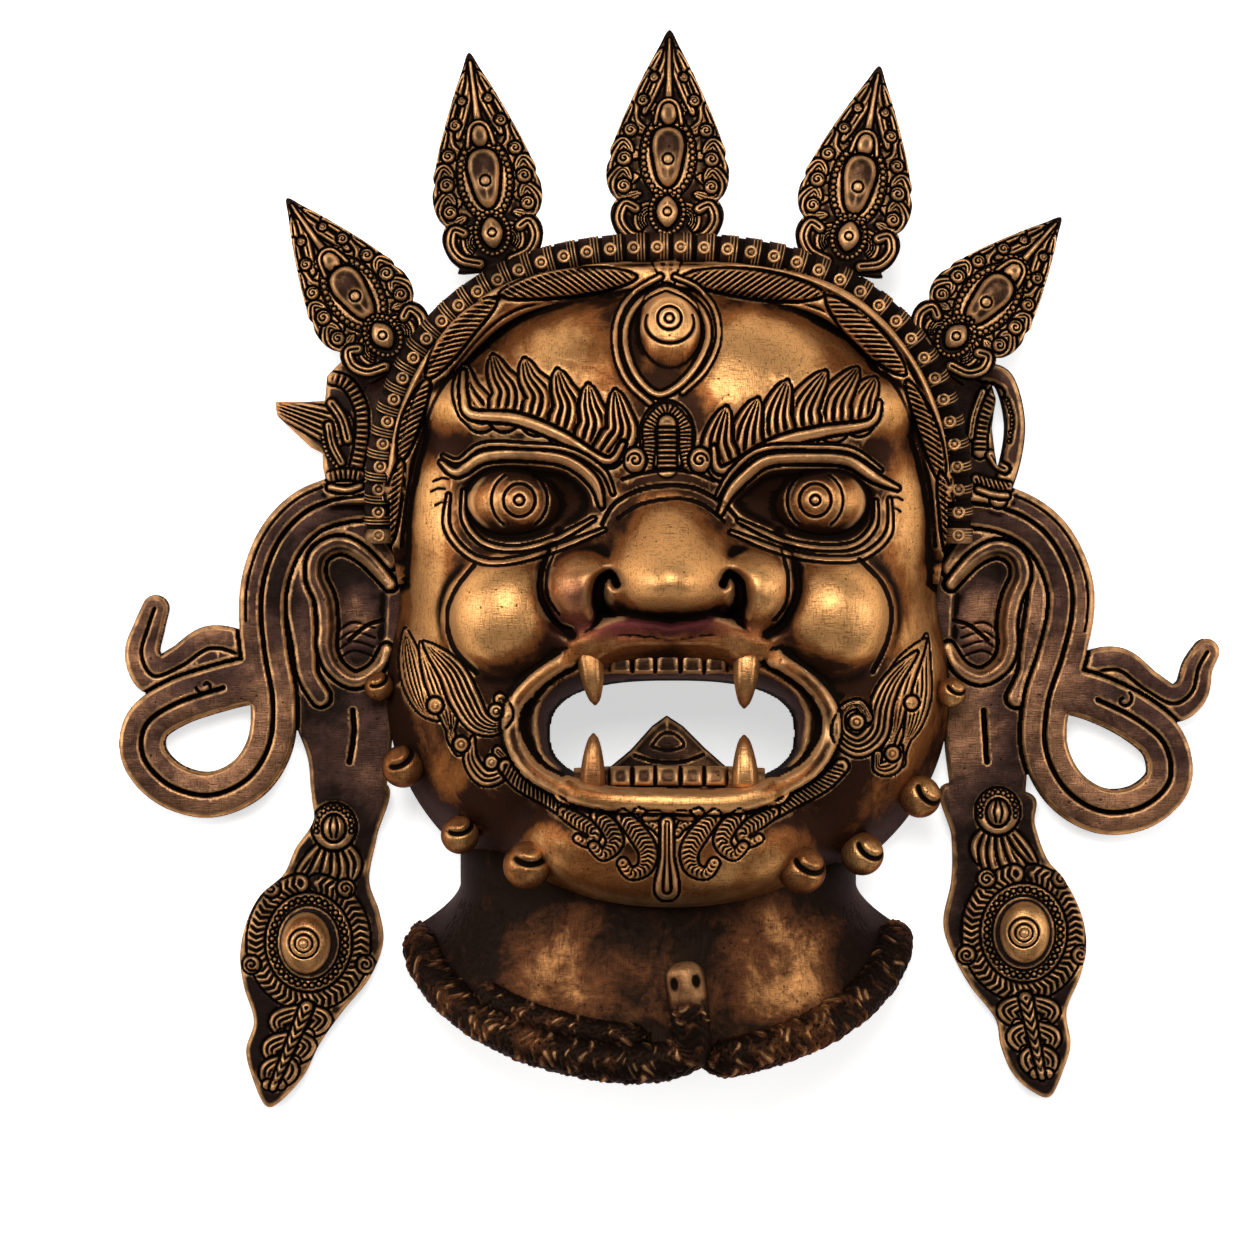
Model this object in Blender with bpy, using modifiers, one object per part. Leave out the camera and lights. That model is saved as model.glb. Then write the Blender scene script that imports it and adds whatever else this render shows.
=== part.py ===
"""A cast bronze Bhairab mask, 270 mm tall, lying face up on its back rim.

The mask is one hollow casting: a broad face with an open mouth, a beaded crown band with five leaves,
long ears with a ribbon and a drop pendant each, and a short neck with a snake round its collar.
The crown points along +Y, the mask's left side is at -X as seen from the front, and the face looks along +Z.
"""

import math

import bmesh
import bpy
from mathutils import Matrix, Vector
from mathutils.bvhtree import BVHTree

# Driving sizes, in metres
MASK_HEIGHT = 0.270  # tip of the middle crown leaf to the tip of the lower pendant
WALL = 0.0032  # thickness of the cast shell
LEAF_THICKNESS = 0.0038
EAR_THICKNESS = 0.0085
PENDANT_THICKNESS = 0.0065
RIM_CLEARANCE = 0.0012  # height of the ears, ribbons and pendants above the plane of the rim

# The casting is drawn 270 units tall, so a unit is one millimetre on a 270 mm mask.
DRAWN_HEIGHT = 270.0
UNIT = MASK_HEIGHT / DRAWN_HEIGHT

# Fineness of the fused casting
FORM_VOXEL = 1.0 * UNIT
CAVITY_VOXEL = 1.6 * UNIT
CASTING_FACES = 9200
WORKING_FACES = 3 * CASTING_FACES
CAVITY_FACES = 1300
CURVE_STEP = 1.6  # drawing units between the points of a sampled path

LEFT, RIGHT = -1, 1
SIDES = {"left": LEFT, "right": RIGHT}

bpy.ops.object.select_all(action="DESELECT")
for old in list(bpy.data.objects):
    bpy.data.objects.remove(old)

casting_collection = bpy.data.collections.new("bhairab_mask")
tools_collection = bpy.data.collections.new("casting_tools")
bpy.context.scene.collection.children.link(casting_collection)
bpy.context.scene.collection.children.link(tools_collection)


# Making and joining forms

def keep_as_mesh(name, obj):
    """The evaluated shape of obj as a plain mesh object, with the object's place moved into the mesh."""
    graph = bpy.context.evaluated_depsgraph_get()
    mesh = bpy.data.meshes.new_from_object(obj.evaluated_get(graph))
    mesh.transform(obj.matrix_world)
    data = obj.data
    bpy.data.objects.remove(obj)
    if isinstance(data, bpy.types.Curve):
        bpy.data.curves.remove(data)
    made = bmesh.new()
    made.from_mesh(mesh)
    bmesh.ops.remove_doubles(made, verts=made.verts, dist=0.00001)
    bmesh.ops.recalc_face_normals(made, faces=made.faces)
    made.to_mesh(mesh)
    made.free()
    form = bpy.data.objects.new(name, mesh)
    tools_collection.objects.link(form)
    form.hide_render = True
    form.display_type = "WIRE"
    return form


def new_object(name, data):
    obj = bpy.data.objects.new(name, data)
    tools_collection.objects.link(obj)
    bpy.context.view_layer.update()
    return obj


def ellipsoid(name, centre, radii, turn_deg=0.0, segments=32):
    """A stretched ball, turned about Z by turn_deg."""
    mesh = bpy.data.meshes.new(name)
    ball = bmesh.new()
    bmesh.ops.create_uvsphere(ball, u_segments=segments, v_segments=segments // 2, radius=1.0)
    ball.transform(Matrix.Diagonal([r * UNIT for r in radii] + [1.0]))
    ball.transform(Matrix.Rotation(math.radians(turn_deg), 4, "Z"))
    ball.transform(Matrix.Translation(Vector(centre) * UNIT))
    ball.to_mesh(mesh)
    ball.free()
    return keep_as_mesh(name, new_object(name, mesh))


def smooth_path(points, closed=False, step=CURVE_STEP):
    """Points every step or so along a smooth curve through the given ones (a Catmull-Rom spline)."""
    given = [Vector(p) if len(p) == 3 else Vector((*p, 0.0)) for p in points]
    count = len(given)
    spans = count if closed else count - 1
    path = []
    for i in range(spans):
        before = given[(i - 1) % count] if closed or i > 0 else given[0]
        start, end = given[i], given[(i + 1) % count]
        after = given[(i + 2) % count] if closed or i + 2 < count else given[-1]
        pieces = max(1, round((end - start).length / step))
        for j in range(pieces):
            t = j / pieces
            path.append(0.5 * (
                2 * start
                + (end - before) * t
                + (2 * before - 5 * start + 4 * end - after) * t * t
                + (3 * start - before - 3 * end + after) * t ** 3
            ))
    if not closed:
        path.append(given[-1])
    return path


def rod(name, points, radius, taper=None, flat=1.0, smooth=True, sides=3):
    """A round bar along a path. taper(t) scales its radius from start to end, and flat squashes it in Z."""
    path = smooth_path(points) if smooth else [Vector(p) for p in points]
    level = sum(p.z for p in path) / len(path)
    curve = bpy.data.curves.new(name, "CURVE")
    curve.dimensions = "3D"
    curve.bevel_depth = radius * UNIT
    curve.bevel_resolution = sides
    curve.use_fill_caps = True
    spline = curve.splines.new("POLY")
    spline.points.add(len(path) - 1)
    for i, p in enumerate(path):
        spline.points[i].co = (p.x * UNIT, p.y * UNIT, p.z * UNIT, 1.0)
        spline.points[i].radius = taper(i / (len(path) - 1)) if taper else 1.0
    bar = keep_as_mesh(name, new_object(name, curve))
    if flat != 1.0:
        squash = Matrix.Translation((0, 0, level * UNIT)) @ Matrix.Diagonal((1, 1, flat, 1))
        bar.data.transform(squash @ Matrix.Translation((0, 0, -level * UNIT)))
    return bar


def plate(name, outline, low, thickness, edge=1.0):
    """A flat casting of that outline, from height low (metres) upwards, with rounded edges."""
    curve = bpy.data.curves.new(name, "CURVE")
    curve.dimensions = "2D"
    curve.fill_mode = "BOTH"
    curve.extrude = thickness / 2 - edge * UNIT
    curve.bevel_depth = edge * UNIT
    curve.bevel_resolution = 1
    curve.offset = -edge * UNIT
    spline = curve.splines.new("POLY")
    path = smooth_path(outline, closed=True)
    spline.points.add(len(path) - 1)
    for i, p in enumerate(path):
        spline.points[i].co = (p.x * UNIT, p.y * UNIT, 0.0, 1.0)
    spline.use_cyclic_u = True
    slab = keep_as_mesh(name, new_object(name, curve))
    slab.data.transform(Matrix.Translation((0, 0, low + thickness / 2)))
    return slab


def spiral(centre, start_radius, end_radius, start_deg, turns):
    """Points of a flat scroll that winds inwards from start_radius."""
    steps = max(6, round(abs(turns) * 12))
    points = []
    for i in range(steps + 1):
        t = i / steps
        radius = start_radius + (end_radius - start_radius) * t
        angle = math.radians(start_deg) + turns * 2 * math.pi * t
        points.append((centre[0] + radius * math.cos(angle), centre[1] + radius * math.sin(angle)))
    return points


def mirrored(points, side):
    """The same path for either side: points are drawn on the right and flipped for the left."""
    return [(p[0] * side, *p[1:]) for p in points]


def moved(form, matrix):
    form.data.transform(matrix)
    return form


def join(name, forms):
    """One mesh object that holds every form, still overlapping."""
    whole = bmesh.new()
    for form in forms:
        whole.from_mesh(form.data)
        bpy.data.objects.remove(form)
    mesh = bpy.data.meshes.new(name)
    whole.to_mesh(mesh)
    whole.free()
    return new_object(name, mesh)


def fuse(name, forms, voxel, smoothing, faces=None):
    """Runs the forms together like wax: a voxel remesh, a few rounds of smoothing, and a thinner mesh."""
    wax = join(name, forms)
    remesh = wax.modifiers.new("Run together", "REMESH")
    remesh.mode = "VOXEL"
    remesh.voxel_size = voxel
    smooth = wax.modifiers.new("Soften joins", "SMOOTH")
    smooth.factor = 0.5
    smooth.iterations = smoothing
    wax = keep_as_mesh(name, wax)
    return thinned(wax, faces) if faces else wax


def thinned(form, faces):
    """The form with about that many triangles, kept where the surface bends most."""
    form.data.calc_loop_triangles()
    share = faces / len(form.data.loop_triangles)
    if share < 1.0:
        decimate = form.modifiers.new("Fewer faces", "DECIMATE")
        decimate.ratio = share
        decimate.use_collapse_triangulate = True
        return keep_as_mesh(form.name, form)
    return form


def cut(form, cutter):
    """form with the cutter taken away."""
    change = form.modifiers.new(cutter.name, "BOOLEAN")
    change.operation = "DIFFERENCE"
    change.object = cutter
    form = keep_as_mesh(form.name, form)
    bpy.data.objects.remove(cutter)
    return form


# The plain head: broad forms of the face, drawn in units

def superellipse(half_width, half_height, power, angle):
    """A point of a rounded box outline at that angle from +X."""
    c, s = math.cos(angle), math.sin(angle)
    x = math.copysign(abs(c) ** (2 / power), c) * half_width
    y = math.copysign(abs(s) ** (2 / power), s) * half_height
    return x, y


NECK_X = -2.5  # the neck stands a little to the left of the face's middle
COLLAR_Y, COLLAR_RADIUS, COLLAR_DIP = -89.5, 60.8, 32.0


def neck_form(name, start_y, inset, extra):
    """The flaring neck as a solid. inset narrows it, in metres, and extra lengthens its lower end."""
    waist_y, rim_y, rim_dip = -79.0, COLLAR_Y, COLLAR_DIP
    waist_radius, rim_radius = 50.0, COLLAR_RADIUS
    depth_share = 0.80
    ys = [start_y + (rim_y - extra - start_y) * i / 10 for i in range(11)]

    def radius(y):
        t = min(1.3, max(0.0, (waist_y - y) / (waist_y - rim_y)))
        return waist_radius + (rim_radius - waist_radius) * t ** 1.6 - inset / UNIT

    path = [(NECK_X, y, 0.0) for y in ys]
    form = rod(name, path, 1.0, taper=lambda t: radius(start_y + (rim_y - extra - start_y) * t),
               smooth=False, sides=12)
    for v in form.data.vertices:
        along = max(0.0, (waist_y - v.co.y / UNIT) / (waist_y - rim_y))
        v.co.z *= depth_share
        v.co.y -= rim_dip * UNIT * along * v.co.z / (rim_radius * depth_share * UNIT)
    return form


def plain_head():
    """The head before any carving: skull, jaw, brow, nose, cheeks, chin and neck."""
    forms = [neck_form("neck", -55.0, 0.0, 0.0)]
    for side in (LEFT, RIGHT):
        forms += [
            ellipsoid("skull", (11 * side, 14, 0), (58.5, 66, 57)),
            ellipsoid("jaw", (12 * side, -30, 0), (57, 54, 58)),
            ellipsoid("forehead", (17 * side, 38, 18), (33, 33, 39)),
            ellipsoid("brow_ridge", (31 * side, 35, 45), (24, 8, 11), turn_deg=14 * side),
            ellipsoid("cheek", (41 * side, -10.5, 48), (14.5, 14.5, 17)),
            ellipsoid("nose_wing", (19.5 * side, -5, 57), (10, 8.5, 12)),
        ]
    forms += [
        ellipsoid("forehead_middle", (0, 36, 20), (46, 36, 38)),
        rod("nose_ridge", [(0, 25, 52), (0, 12, 59), (0, 2, 67)], 10.5),
        ellipsoid("nose_base", (0, 3, 54), (25, 15, 15)),
        ellipsoid("nose_tip", (0, -0.5, 67), (15.5, 11.5, 15)),
        ellipsoid("muzzle", (0, -17, 50), (27, 9, 14)),
        ellipsoid("chin", (0, -67, 44), (27, 14, 17)),
    ]
    head = fuse("plain_head", forms, FORM_VOXEL, 6)
    for side in (LEFT, RIGHT):
        socket = ellipsoid("socket", (36 * side, 15.5, 61), (18.5, 10.5, 12), turn_deg=4 * side)
        head = cut(head, socket)
    return head


def funnel(name, widen, front, back):
    """The mouth's opening: a rounded oval at the lips that narrows to a smaller one inside."""
    lip_centre_y, lip_half = -38.5, (39.0, 19.0)
    throat_centre_y, throat_half = -40.5, (30.5, 13.0)
    lip_z, throat_z, centre_x, power = 62.0, 38.0, 0.8, 2.6
    mesh = bpy.data.meshes.new(name)
    cone = bmesh.new()
    bmesh.ops.create_cone(cone, cap_ends=True, segments=48, radius1=1.0, radius2=1.0, depth=2.0)
    for v in cone.verts:
        z = front if v.co.z > 0 else back
        t = (z - throat_z) / (lip_z - throat_z)
        grow = widen / UNIT
        half = [a + (b - a) * t + grow for a, b in zip(throat_half, lip_half)]
        x, y = superellipse(*half, power, math.atan2(v.co.y, v.co.x))
        centre_y = throat_centre_y + (lip_centre_y - throat_centre_y) * t
        v.co = Vector((x + centre_x, y + centre_y, z)) * UNIT
    cone.to_mesh(mesh)
    cone.free()
    return keep_as_mesh(name, new_object(name, mesh))


def cavity(head):
    """The hollow behind the face: the plain head set in by the wall, open at the neck, and clear of the mouth."""
    hollow = new_object("cavity", head.data.copy())
    inset = hollow.modifiers.new("Set in by the wall", "DISPLACE")
    inset.mid_level = 0.0
    inset.strength = -WALL
    hollow = keep_as_mesh("cavity", hollow)
    bore = neck_form("neck_bore", -60.0, WALL, 6.0)
    hollow = fuse("cavity", [hollow, bore], CAVITY_VOXEL, 8, CAVITY_FACES)
    sleeve = funnel("mouth_sleeve", WALL, 70.0, 38.0)
    return cut(hollow, sleeve)


# Finding the surface, so that carving sits on it

class Surface:
    """Looks up the height of the plain head in front of a drawn point."""

    def __init__(self, head):
        self.tree = BVHTree.FromObject(head, bpy.context.evaluated_depsgraph_get())

    def height(self, x, y, fallback=10.0):
        hit = self.tree.ray_cast(Vector((x * UNIT, y * UNIT, 0.2)), Vector((0, 0, -1)))
        return hit[0].z / UNIT if hit[0] is not None else fallback

    def lay(self, points, lift):
        """The flat path laid on the surface and raised by lift."""
        path = smooth_path(points)
        return [(p.x, p.y, self.height(p.x, p.y) + lift) for p in path]


def blunt(t):
    """A taper that rounds both ends of a bar."""
    return max(0.25, min(1.0, math.sin(math.pi * t) * 3.0))


def pointed(t):
    """A taper from full thickness to a point."""
    return max(0.12, 1.0 - t ** 1.5)


def fang(t):
    """A taper that stays thick and then comes to a blunt point."""
    return 1.0 - 0.78 * t ** 2


# Carving on the face

EYE_CENTRE = (36.5, 16.5)


def eye_forms(surface, side):
    """Eyeball, iris rings and the two lids."""
    x, y = EYE_CENTRE
    floor = surface.height(x * side, y)
    upper = [(16.5, 15), (21, 21.5), (30, 25.5), (42, 26.8), (51, 23), (56, 20.5)]
    lower = [(16.5, 15), (22, 8.5), (30, 4.8), (40, 3.5), (48, 7), (52.5, 14), (53, 19)]
    fold = [(19, 26.5), (29, 30.5), (42, 31), (52, 27)]
    forms = [
        ellipsoid("eyeball", (x * side, y, floor + 0.5), (10.5, 8.2, 6.0)),
        ellipsoid("iris", (x * side, y, floor + 4.0), (5.2, 5.2, 3.8)),
    ]
    for name, path, lift, radius in (
        ("upper_lid", upper, 1.0, 2.0), ("lower_lid", lower, 0.4, 1.5), ("lid_fold", fold, 0.2, 1.2),
    ):
        forms.append(rod(name, surface.lay(mirrored(path, side), lift), radius, blunt, smooth=False))
    return forms


def brow_forms(surface, side):
    """The eyebrow: a thick stroke with flames that lick upwards and outwards."""
    stroke = [(12, 25), (22, 30.5), (34, 35), (44, 38), (51.5, 40)]
    forms = [rod("brow", surface.lay(mirrored(stroke, side), 0.6), 3.6, blunt, flat=0.8, smooth=False)]
    for i in range(6):
        t = i / 5
        x, y = 14 + 36 * t, 28 + 11 * t
        lean, length = 1.5 + 3.0 * t, 8 + 3.5 * math.sin(math.pi * t)
        flame = [(x, y), (x + lean * 0.2, y + length * 0.6), (x + lean, y + length)]
        forms.append(rod("flame", surface.lay(mirrored(flame, side), 1.2), 3.1, pointed, smooth=False))
    return forms


def third_eye_forms(surface):
    """The upright eye in the forehead, inside its drop-shaped frame."""
    frame = [(0, 70), (-7, 66), (-9.8, 57), (-6, 47), (0, 42), (6, 47), (9.8, 57), (7, 66), (0, 70)]
    floor = surface.height(0, 57)
    return [
        rod("third_eye_frame", surface.lay(frame, 0.4), 1.4, smooth=False),
        ellipsoid("third_eyeball", (0, 55.5, floor - 1.0), (7.0, 10.5, 5.5)),
        ellipsoid("third_iris", (0, 59.5, floor + 2.5), (5.0, 4.2, 3.2)),
    ]


def hood_forms(surface):
    """The small snake hood over the root of the nose."""
    forms = [ellipsoid("hood", (-0.5, 31.5, surface.height(0, 31.5)), (6.3, 7.0, 3.0))]
    for side in (LEFT, RIGHT):
        knob = (8.0 * side, 26.0)
        forms.append(ellipsoid("hood_curl", (*knob, surface.height(*knob)), (2.6, 3.4, 2.6)))
    return forms


def lip_forms(surface):
    """The upper lip under the nose, the heavy lower lip, and the thin rim round the mouth's corners."""
    upper = [(-24, -19), (-16, -13.8), (-8, -12.2), (0, -13.8), (8, -12.2), (16, -13.8), (24, -19)]
    lower = [(-29, -54), (-16, -57), (0, -57.5), (16, -57), (29, -54)]
    forms = [
        rod("upper_lip", [(x, y, 62.5) for x, y in upper], 2.6, blunt, flat=1.3),
        rod("lower_lip", [(x, y, 61.5 - 0.006 * x * x) for x, y in lower], 3.2, blunt, flat=1.4),
    ]
    for side in (LEFT, RIGHT):
        corner = [(27, -54.5), (35, -50), (39.5, -42), (39, -32), (33, -24), (25, -19.5)]
        forms.append(rod("lip_rim", surface.lay(mirrored(corner, side), 0.0), 1.6, smooth=False))
    return forms


def curl(surface, stem, centre, radius, start_deg, turns, side, thickness, lift=1.0):
    """A lock of beard: a stem that ends in a scroll, laid on the face."""
    scroll = spiral(centre, radius, radius * 0.25, start_deg, turns)
    path = mirrored(list(stem) + scroll, side)
    return rod("curl", surface.lay(path, lift), thickness, lambda t: 1.0 - 0.45 * t, smooth=False)


def beard_forms(surface):
    """Flame-like whiskers beside the mouth, the twisted cord along the jaw, and scrolls under the lip."""
    forms = [rod("beard_middle", surface.lay([(0, -61), (0, -70), (0, -78.5)], 0.6), 2.4, smooth=False)]
    for side in (LEFT, RIGHT):
        for stem, centre, radius, start, turns, thickness in (
            ([(65, -16), (63, -25), (61.5, -33)], (57.5, -34.5), 3.4, 200, 0.9, 2.2),
            ([(60, -20), (56, -28), (54.0, -36)], (51.5, -46.0), 3.0, 170, 0.9, 2.2),
            ([(55, -23), (48, -30), (46, -37)], (41.5, -37.0), 4.0, 200, 1.1, 2.3),
            ([(24, -60), (22, -64), (20.5, -68)], (16.5, -68.5), 3.6, 180, 0.9, 2.0),
            ([(12, -60), (11.5, -66), (10, -71)], (6.5, -74.0), 3.2, 150, 0.9, 1.9),
        ):
            forms.append(curl(surface, stem, centre, radius, start, turns, side, thickness))
        cord = [(46, -47), (40, -53), (32, -57.5), (26, -61)]
        forms.append(rod("jaw_cord", surface.lay(mirrored(cord, side), 0.2), 1.9, smooth=False))
    return forms


def wart_forms(surface):
    """Round studs along the jaw, each with a small curled top."""
    studs = (
        (-52.0, -66.0, 4.6), (-35.0, -73.0, 5.8), (32.5, -74.0, 5.8), (48.5, -70.5, 5.2),
        (-66.5, -49.0, 5.8), (62.5, -56.5, 5.6), (-74.0, -28.5, 3.6), (71.5, -30.0, 3.6),
    )
    forms = []
    for x, y, radius in studs:
        z = min(surface.height(x * 0.97, y * 0.97, fallback=12.0), 46.0)
        forms.append(ellipsoid("stud", (x, y, z), (radius, radius * 0.95, radius)))
        forms.append(ellipsoid("stud_curl", (x, y + radius * 0.75, z + radius * 0.45), (radius * 0.6,) * 3))
    return forms


def tooth_forms():
    """Fangs, the two rows of small teeth, and the tongue behind them."""
    forms = [
        rod("upper_gum", [(-22, -23.5, 51), (0, -22.0, 55), (22, -23.5, 51)], 2.4, sides=2),
        rod("lower_gum", [(-24, -54.5, 50), (0, -54.0, 54), (24, -54.5, 50)], 3.4, sides=2),
        rod("tongue", [(0, -54, 46), (0, -46, 45), (0, -36.5, 44)], 14.0,
            taper=lambda t: 1.2 - 1.05 * t, flat=0.32),
    ]
    for x in (-19.0, 19.0):
        forms.append(rod("upper_fang", [(x, -20, 54), (x, -26, 55.5), (x, -34.0, 55)], 3.3, fang))
        forms.append(rod("lower_fang", [(x, -55, 54), (x, -48, 55.5), (x, -40.0, 55)], 3.3, fang))
    for i in range(5):
        x = -11.0 + 5.5 * i
        z = 55.5 - 0.008 * x * x
        forms.append(ellipsoid("upper_tooth", (x, -23.5, z), (2.2, 3.2, 2.2), segments=12))
        forms.append(ellipsoid("lower_tooth", (x, -50.5, z), (2.2, 3.0, 2.2), segments=12))
    return forms


# The crown

BAND_CENTRE_Y, BAND_HALF_WIDTH, BAND_HALF_HEIGHT, BAND_POWER = 13.0, 72.5, 67.0, 2.45


def arch(inset, start_deg, end_deg, low_z, high_z, steps):
    """Points along the crown's arch, moved inwards by inset and rising from low_z at the ears to high_z on top."""
    points = []
    for i in range(steps + 1):
        angle = math.radians(start_deg + (end_deg - start_deg) * i / steps)
        x, y = superellipse(BAND_HALF_WIDTH - inset, BAND_HALF_HEIGHT - inset, BAND_POWER, angle)
        z = low_z + (high_z - low_z) * max(0.0, math.sin(angle)) ** 0.8
        points.append((x, y + BAND_CENTRE_Y, z))
    return points


def band_forms():
    """The beaded crown band, the flange behind it, and the leafy hair between it and the forehead."""
    beads = 46

    def beaded(t):
        return 1.0 + 0.10 * math.cos(2 * math.pi * beads * t)

    band = arch(0.0, 180.0, 0.0, 16.0, 31.0, 184)
    return [
        rod("band", band, 3.4, beaded, smooth=False),
        rod("flange", arch(2.0, 184.0, -4.0, 12.0, 27.0, 60), 6.0, flat=0.62, smooth=False),
        rod("hair", arch(6.5, 186.0, -6.0, 20.0, 37.0, 60), 4.6, smooth=False),
    ]


LEAF_PROFILE = (
    (0.00, 0.70), (0.07, 0.82), (0.15, 0.90), (0.20, 0.84), (0.26, 0.97), (0.34, 1.00),
    (0.43, 0.95), (0.55, 0.80), (0.70, 0.57), (0.85, 0.33), (0.95, 0.15),
)
CROWN_LEAVES = {
    # foot across and up as shares of the band's half sizes, then height, half width, lean from upright in degrees,
    # base z, tilt back in degrees
    "outer_left": (-0.9310, 0.5970, 49.5, 13.4, 35.0, 19.0, 6.0),
    "inner_left": (-0.5931, 0.9478, 54.0, 13.6, 7.5, 25.0, 8.0),
    "middle": (-0.0069, 1.0224, 54.0, 15.2, -0.8, 28.0, 8.0),
    "inner_right": (0.6000, 0.9403, 51.5, 14.2, -10.5, 25.0, 8.0),
    "outer_right": (0.9310, 0.6045, 47.0, 13.4, -41.5, 19.0, 6.0),
}


def leaf_forms(across, up, height, half_width, lean_deg, base_z, tilt_deg):
    """A crown leaf: a pointed plate with two set gems, a collar of scrolls and a midrib."""
    right = [(w * half_width, t * height) for t, w in LEAF_PROFILE]
    outline = right + [(0.0, height)] + [(-x, y) for x, y in reversed(right)]
    top = LEAF_THICKNESS / 2 / UNIT
    forms = [
        plate("leaf", outline, -LEAF_THICKNESS / 2, LEAF_THICKNESS, edge=0.8),
        ellipsoid("gem", (0, height * 0.39, top), (3.4, 7.4, 2.2), segments=16),
        ellipsoid("small_gem", (0, height * 0.13, top), (2.8, 3.6, 2.2), segments=16),
        rod("midrib", [(0, height * 0.6, top), (0, height * 0.96, top)], 1.2, pointed, sides=1),
    ]
    for side in (LEFT, RIGHT):
        for share, reach, radius in ((0.10, 0.62, 2.6), (0.26, 0.72, 2.4), (0.42, 0.66, 2.1), (0.56, 0.50, 1.7)):
            centre = (reach * half_width * side, height * share)
            ring = [(*p, top) for p in spiral(centre, radius, radius * 0.5, 90.0, -0.8 * side)]
            forms.append(rod("scroll", ring, 1.0, smooth=False, sides=1))
    foot = (across * BAND_HALF_WIDTH, BAND_CENTRE_Y + up * BAND_HALF_HEIGHT)
    place = (
        Matrix.Translation(Vector((*foot, base_z)) * UNIT)
        @ Matrix.Rotation(math.radians(lean_deg), 4, "Z")
        @ Matrix.Rotation(math.radians(-tilt_deg), 4, "X")
    )
    return [moved(form, place) for form in forms]


def beside_band(points, side):
    """Points measured outwards from the crown band's widest place."""
    return mirrored([(BAND_HALF_WIDTH + out, *rest) for out, *rest in points], side)


def fan_forms(side):
    """The ornament beside the crown, above the ear. The left one ends in a leaf, the right one in an open ring."""
    body = [(-3.5, 50), (8.5, 54), (13.5, 49), (14.5, 36), (14.5, 26), (12.5, 17), (-2.5, 17)]
    low = 6 * UNIT
    forms = [
        rod("fan_rib", beside_band([(5.5, 47, 11), (2, 38, 11), (2.5, 28, 11), (6.5, 20, 11)], side), 2.2),
        rod("fan_foot", beside_band([(1.5, 18, 11), (11.5, 19, 11)], side), 2.4, sides=2),
    ]
    if side == LEFT:
        forms.append(plate("fan", beside_band(body, side), low, 6 * UNIT))
        leaf = [(11.5, 28), (17.5, 31), (26, 39), (26.5, 42.5), (19.5, 42.5), (10.5, 43)]
        forms.append(plate("fan_leaf", beside_band(leaf, side), low, 5 * UNIT))
    else:
        inner = [(-3.5, 50), (7.5, 52), (10, 43), (9, 36), (10, 28), (11.5, 17), (-2.5, 17)]
        forms.append(plate("fan", beside_band(inner, side), low, 6 * UNIT))
        ring = [(6.5, 50, 9), (12, 48, 9), (14.8, 38, 9), (13.8, 28, 9), (10.5, 18, 9)]
        forms.append(rod("fan_ring", beside_band(ring, side), 2.6))
    return forms


# Ears, ribbons and pendants

EAR_OUTLINE = (
    (64, 16), (76, 17.5), (88, 15), (96, 7), (99, -2), (98.5, -14), (97, -25), (95, -36), (91, -47), (89.5, -58),
    (84, -66), (76, -66), (72, -58), (70, -46), (68.5, -30), (62, -20),
)
OUTER_EAR_RIDGE = (
    (68.5, 3), (74, 9.5), (80, 13), (88, 12.5), (93.5, 7), (94.5, 0), (92, -10), (91, -20), (89, -27), (84, -31.5),
    (77, -32.5),
)
INNER_EAR_RIDGE = (
    (70, -2), (76, 5), (82.5, 8.5), (88, 6), (90, -0.5), (88, -9), (87.5, -19), (84.5, -25), (79, -26.5), (73, -22),
)
RIBBON_PATHS = {
    "left": (
        (-68, 19), (-80, 18.5), (-90, 15.5), (-97, 9), (-101, 0.5), (-102.5, -9), (-101.5, -21), (-99.5, -33),
        (-100.5, -44), (-106, -52.5), (-115.5, -56.5), (-125.5, -54), (-132, -47), (-131.5, -39), (-124, -33.5),
        (-112, -29.5), (-103, -27.5),
    ),
    "right": (
        (68, 17), (80, 16.5), (89.5, 13.5), (96.5, 7.5), (101, -2), (101.5, -11), (99, -22), (95.5, -33),
        (95, -45), (100, -55), (109, -60.5), (119, -59.5), (126, -53), (125, -44), (118, -37.5), (108, -32.5),
        (99, -30),
    ),
}
RIBBON_CURLS = {
    "left": ((-102, -27), (-106.5, -21.5), (-115, -19), (-123, -23.5), (-131, -27), (-134.5, -21), (-131.5, -14.5),
             (-129, -9)),
    "right": ((99, -30), (105.5, -26.5), (113, -25), (120, -30), (127, -34), (132.5, -31), (133.5, -24),
              (136.5, -19.5)),
}
PENDANT_OUTLINES = {
    "left": (
        (-88.5, -54), (-89.5, -63), (-94, -70), (-97, -76.5), (-103, -82), (-106.5, -89), (-108, -97), (-107, -105),
        (-104.5, -113.5), (-106.5, -121), (-104.5, -129), (-101.5, -135), (-98, -134), (-92, -127.5), (-88, -119.5),
        (-82, -111), (-75.5, -103), (-72, -94), (-73, -86), (-75.5, -78), (-73.5, -67), (-71, -54),
    ),
    "right": (
        (91, -56), (92.5, -64), (95.5, -72.5), (100, -78), (104, -86), (105.5, -94), (104, -102), (100.5, -111),
        (101.5, -119), (100, -125), (96.5, -132.5), (92, -131.5), (87, -127), (84, -120), (82.5, -113), (76, -104.5),
        (71, -95), (69.5, -88), (71.5, -78), (71.5, -67), (69.5, -54),
    ),
}
PENDANT_GEMS = {"left": (-91.0, -93.5), "right": (89.5, -91.0)}
PENDANT_BUDS = {"left": (-83.5, -64.0), "right": (82.0, -62.0)}


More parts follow.
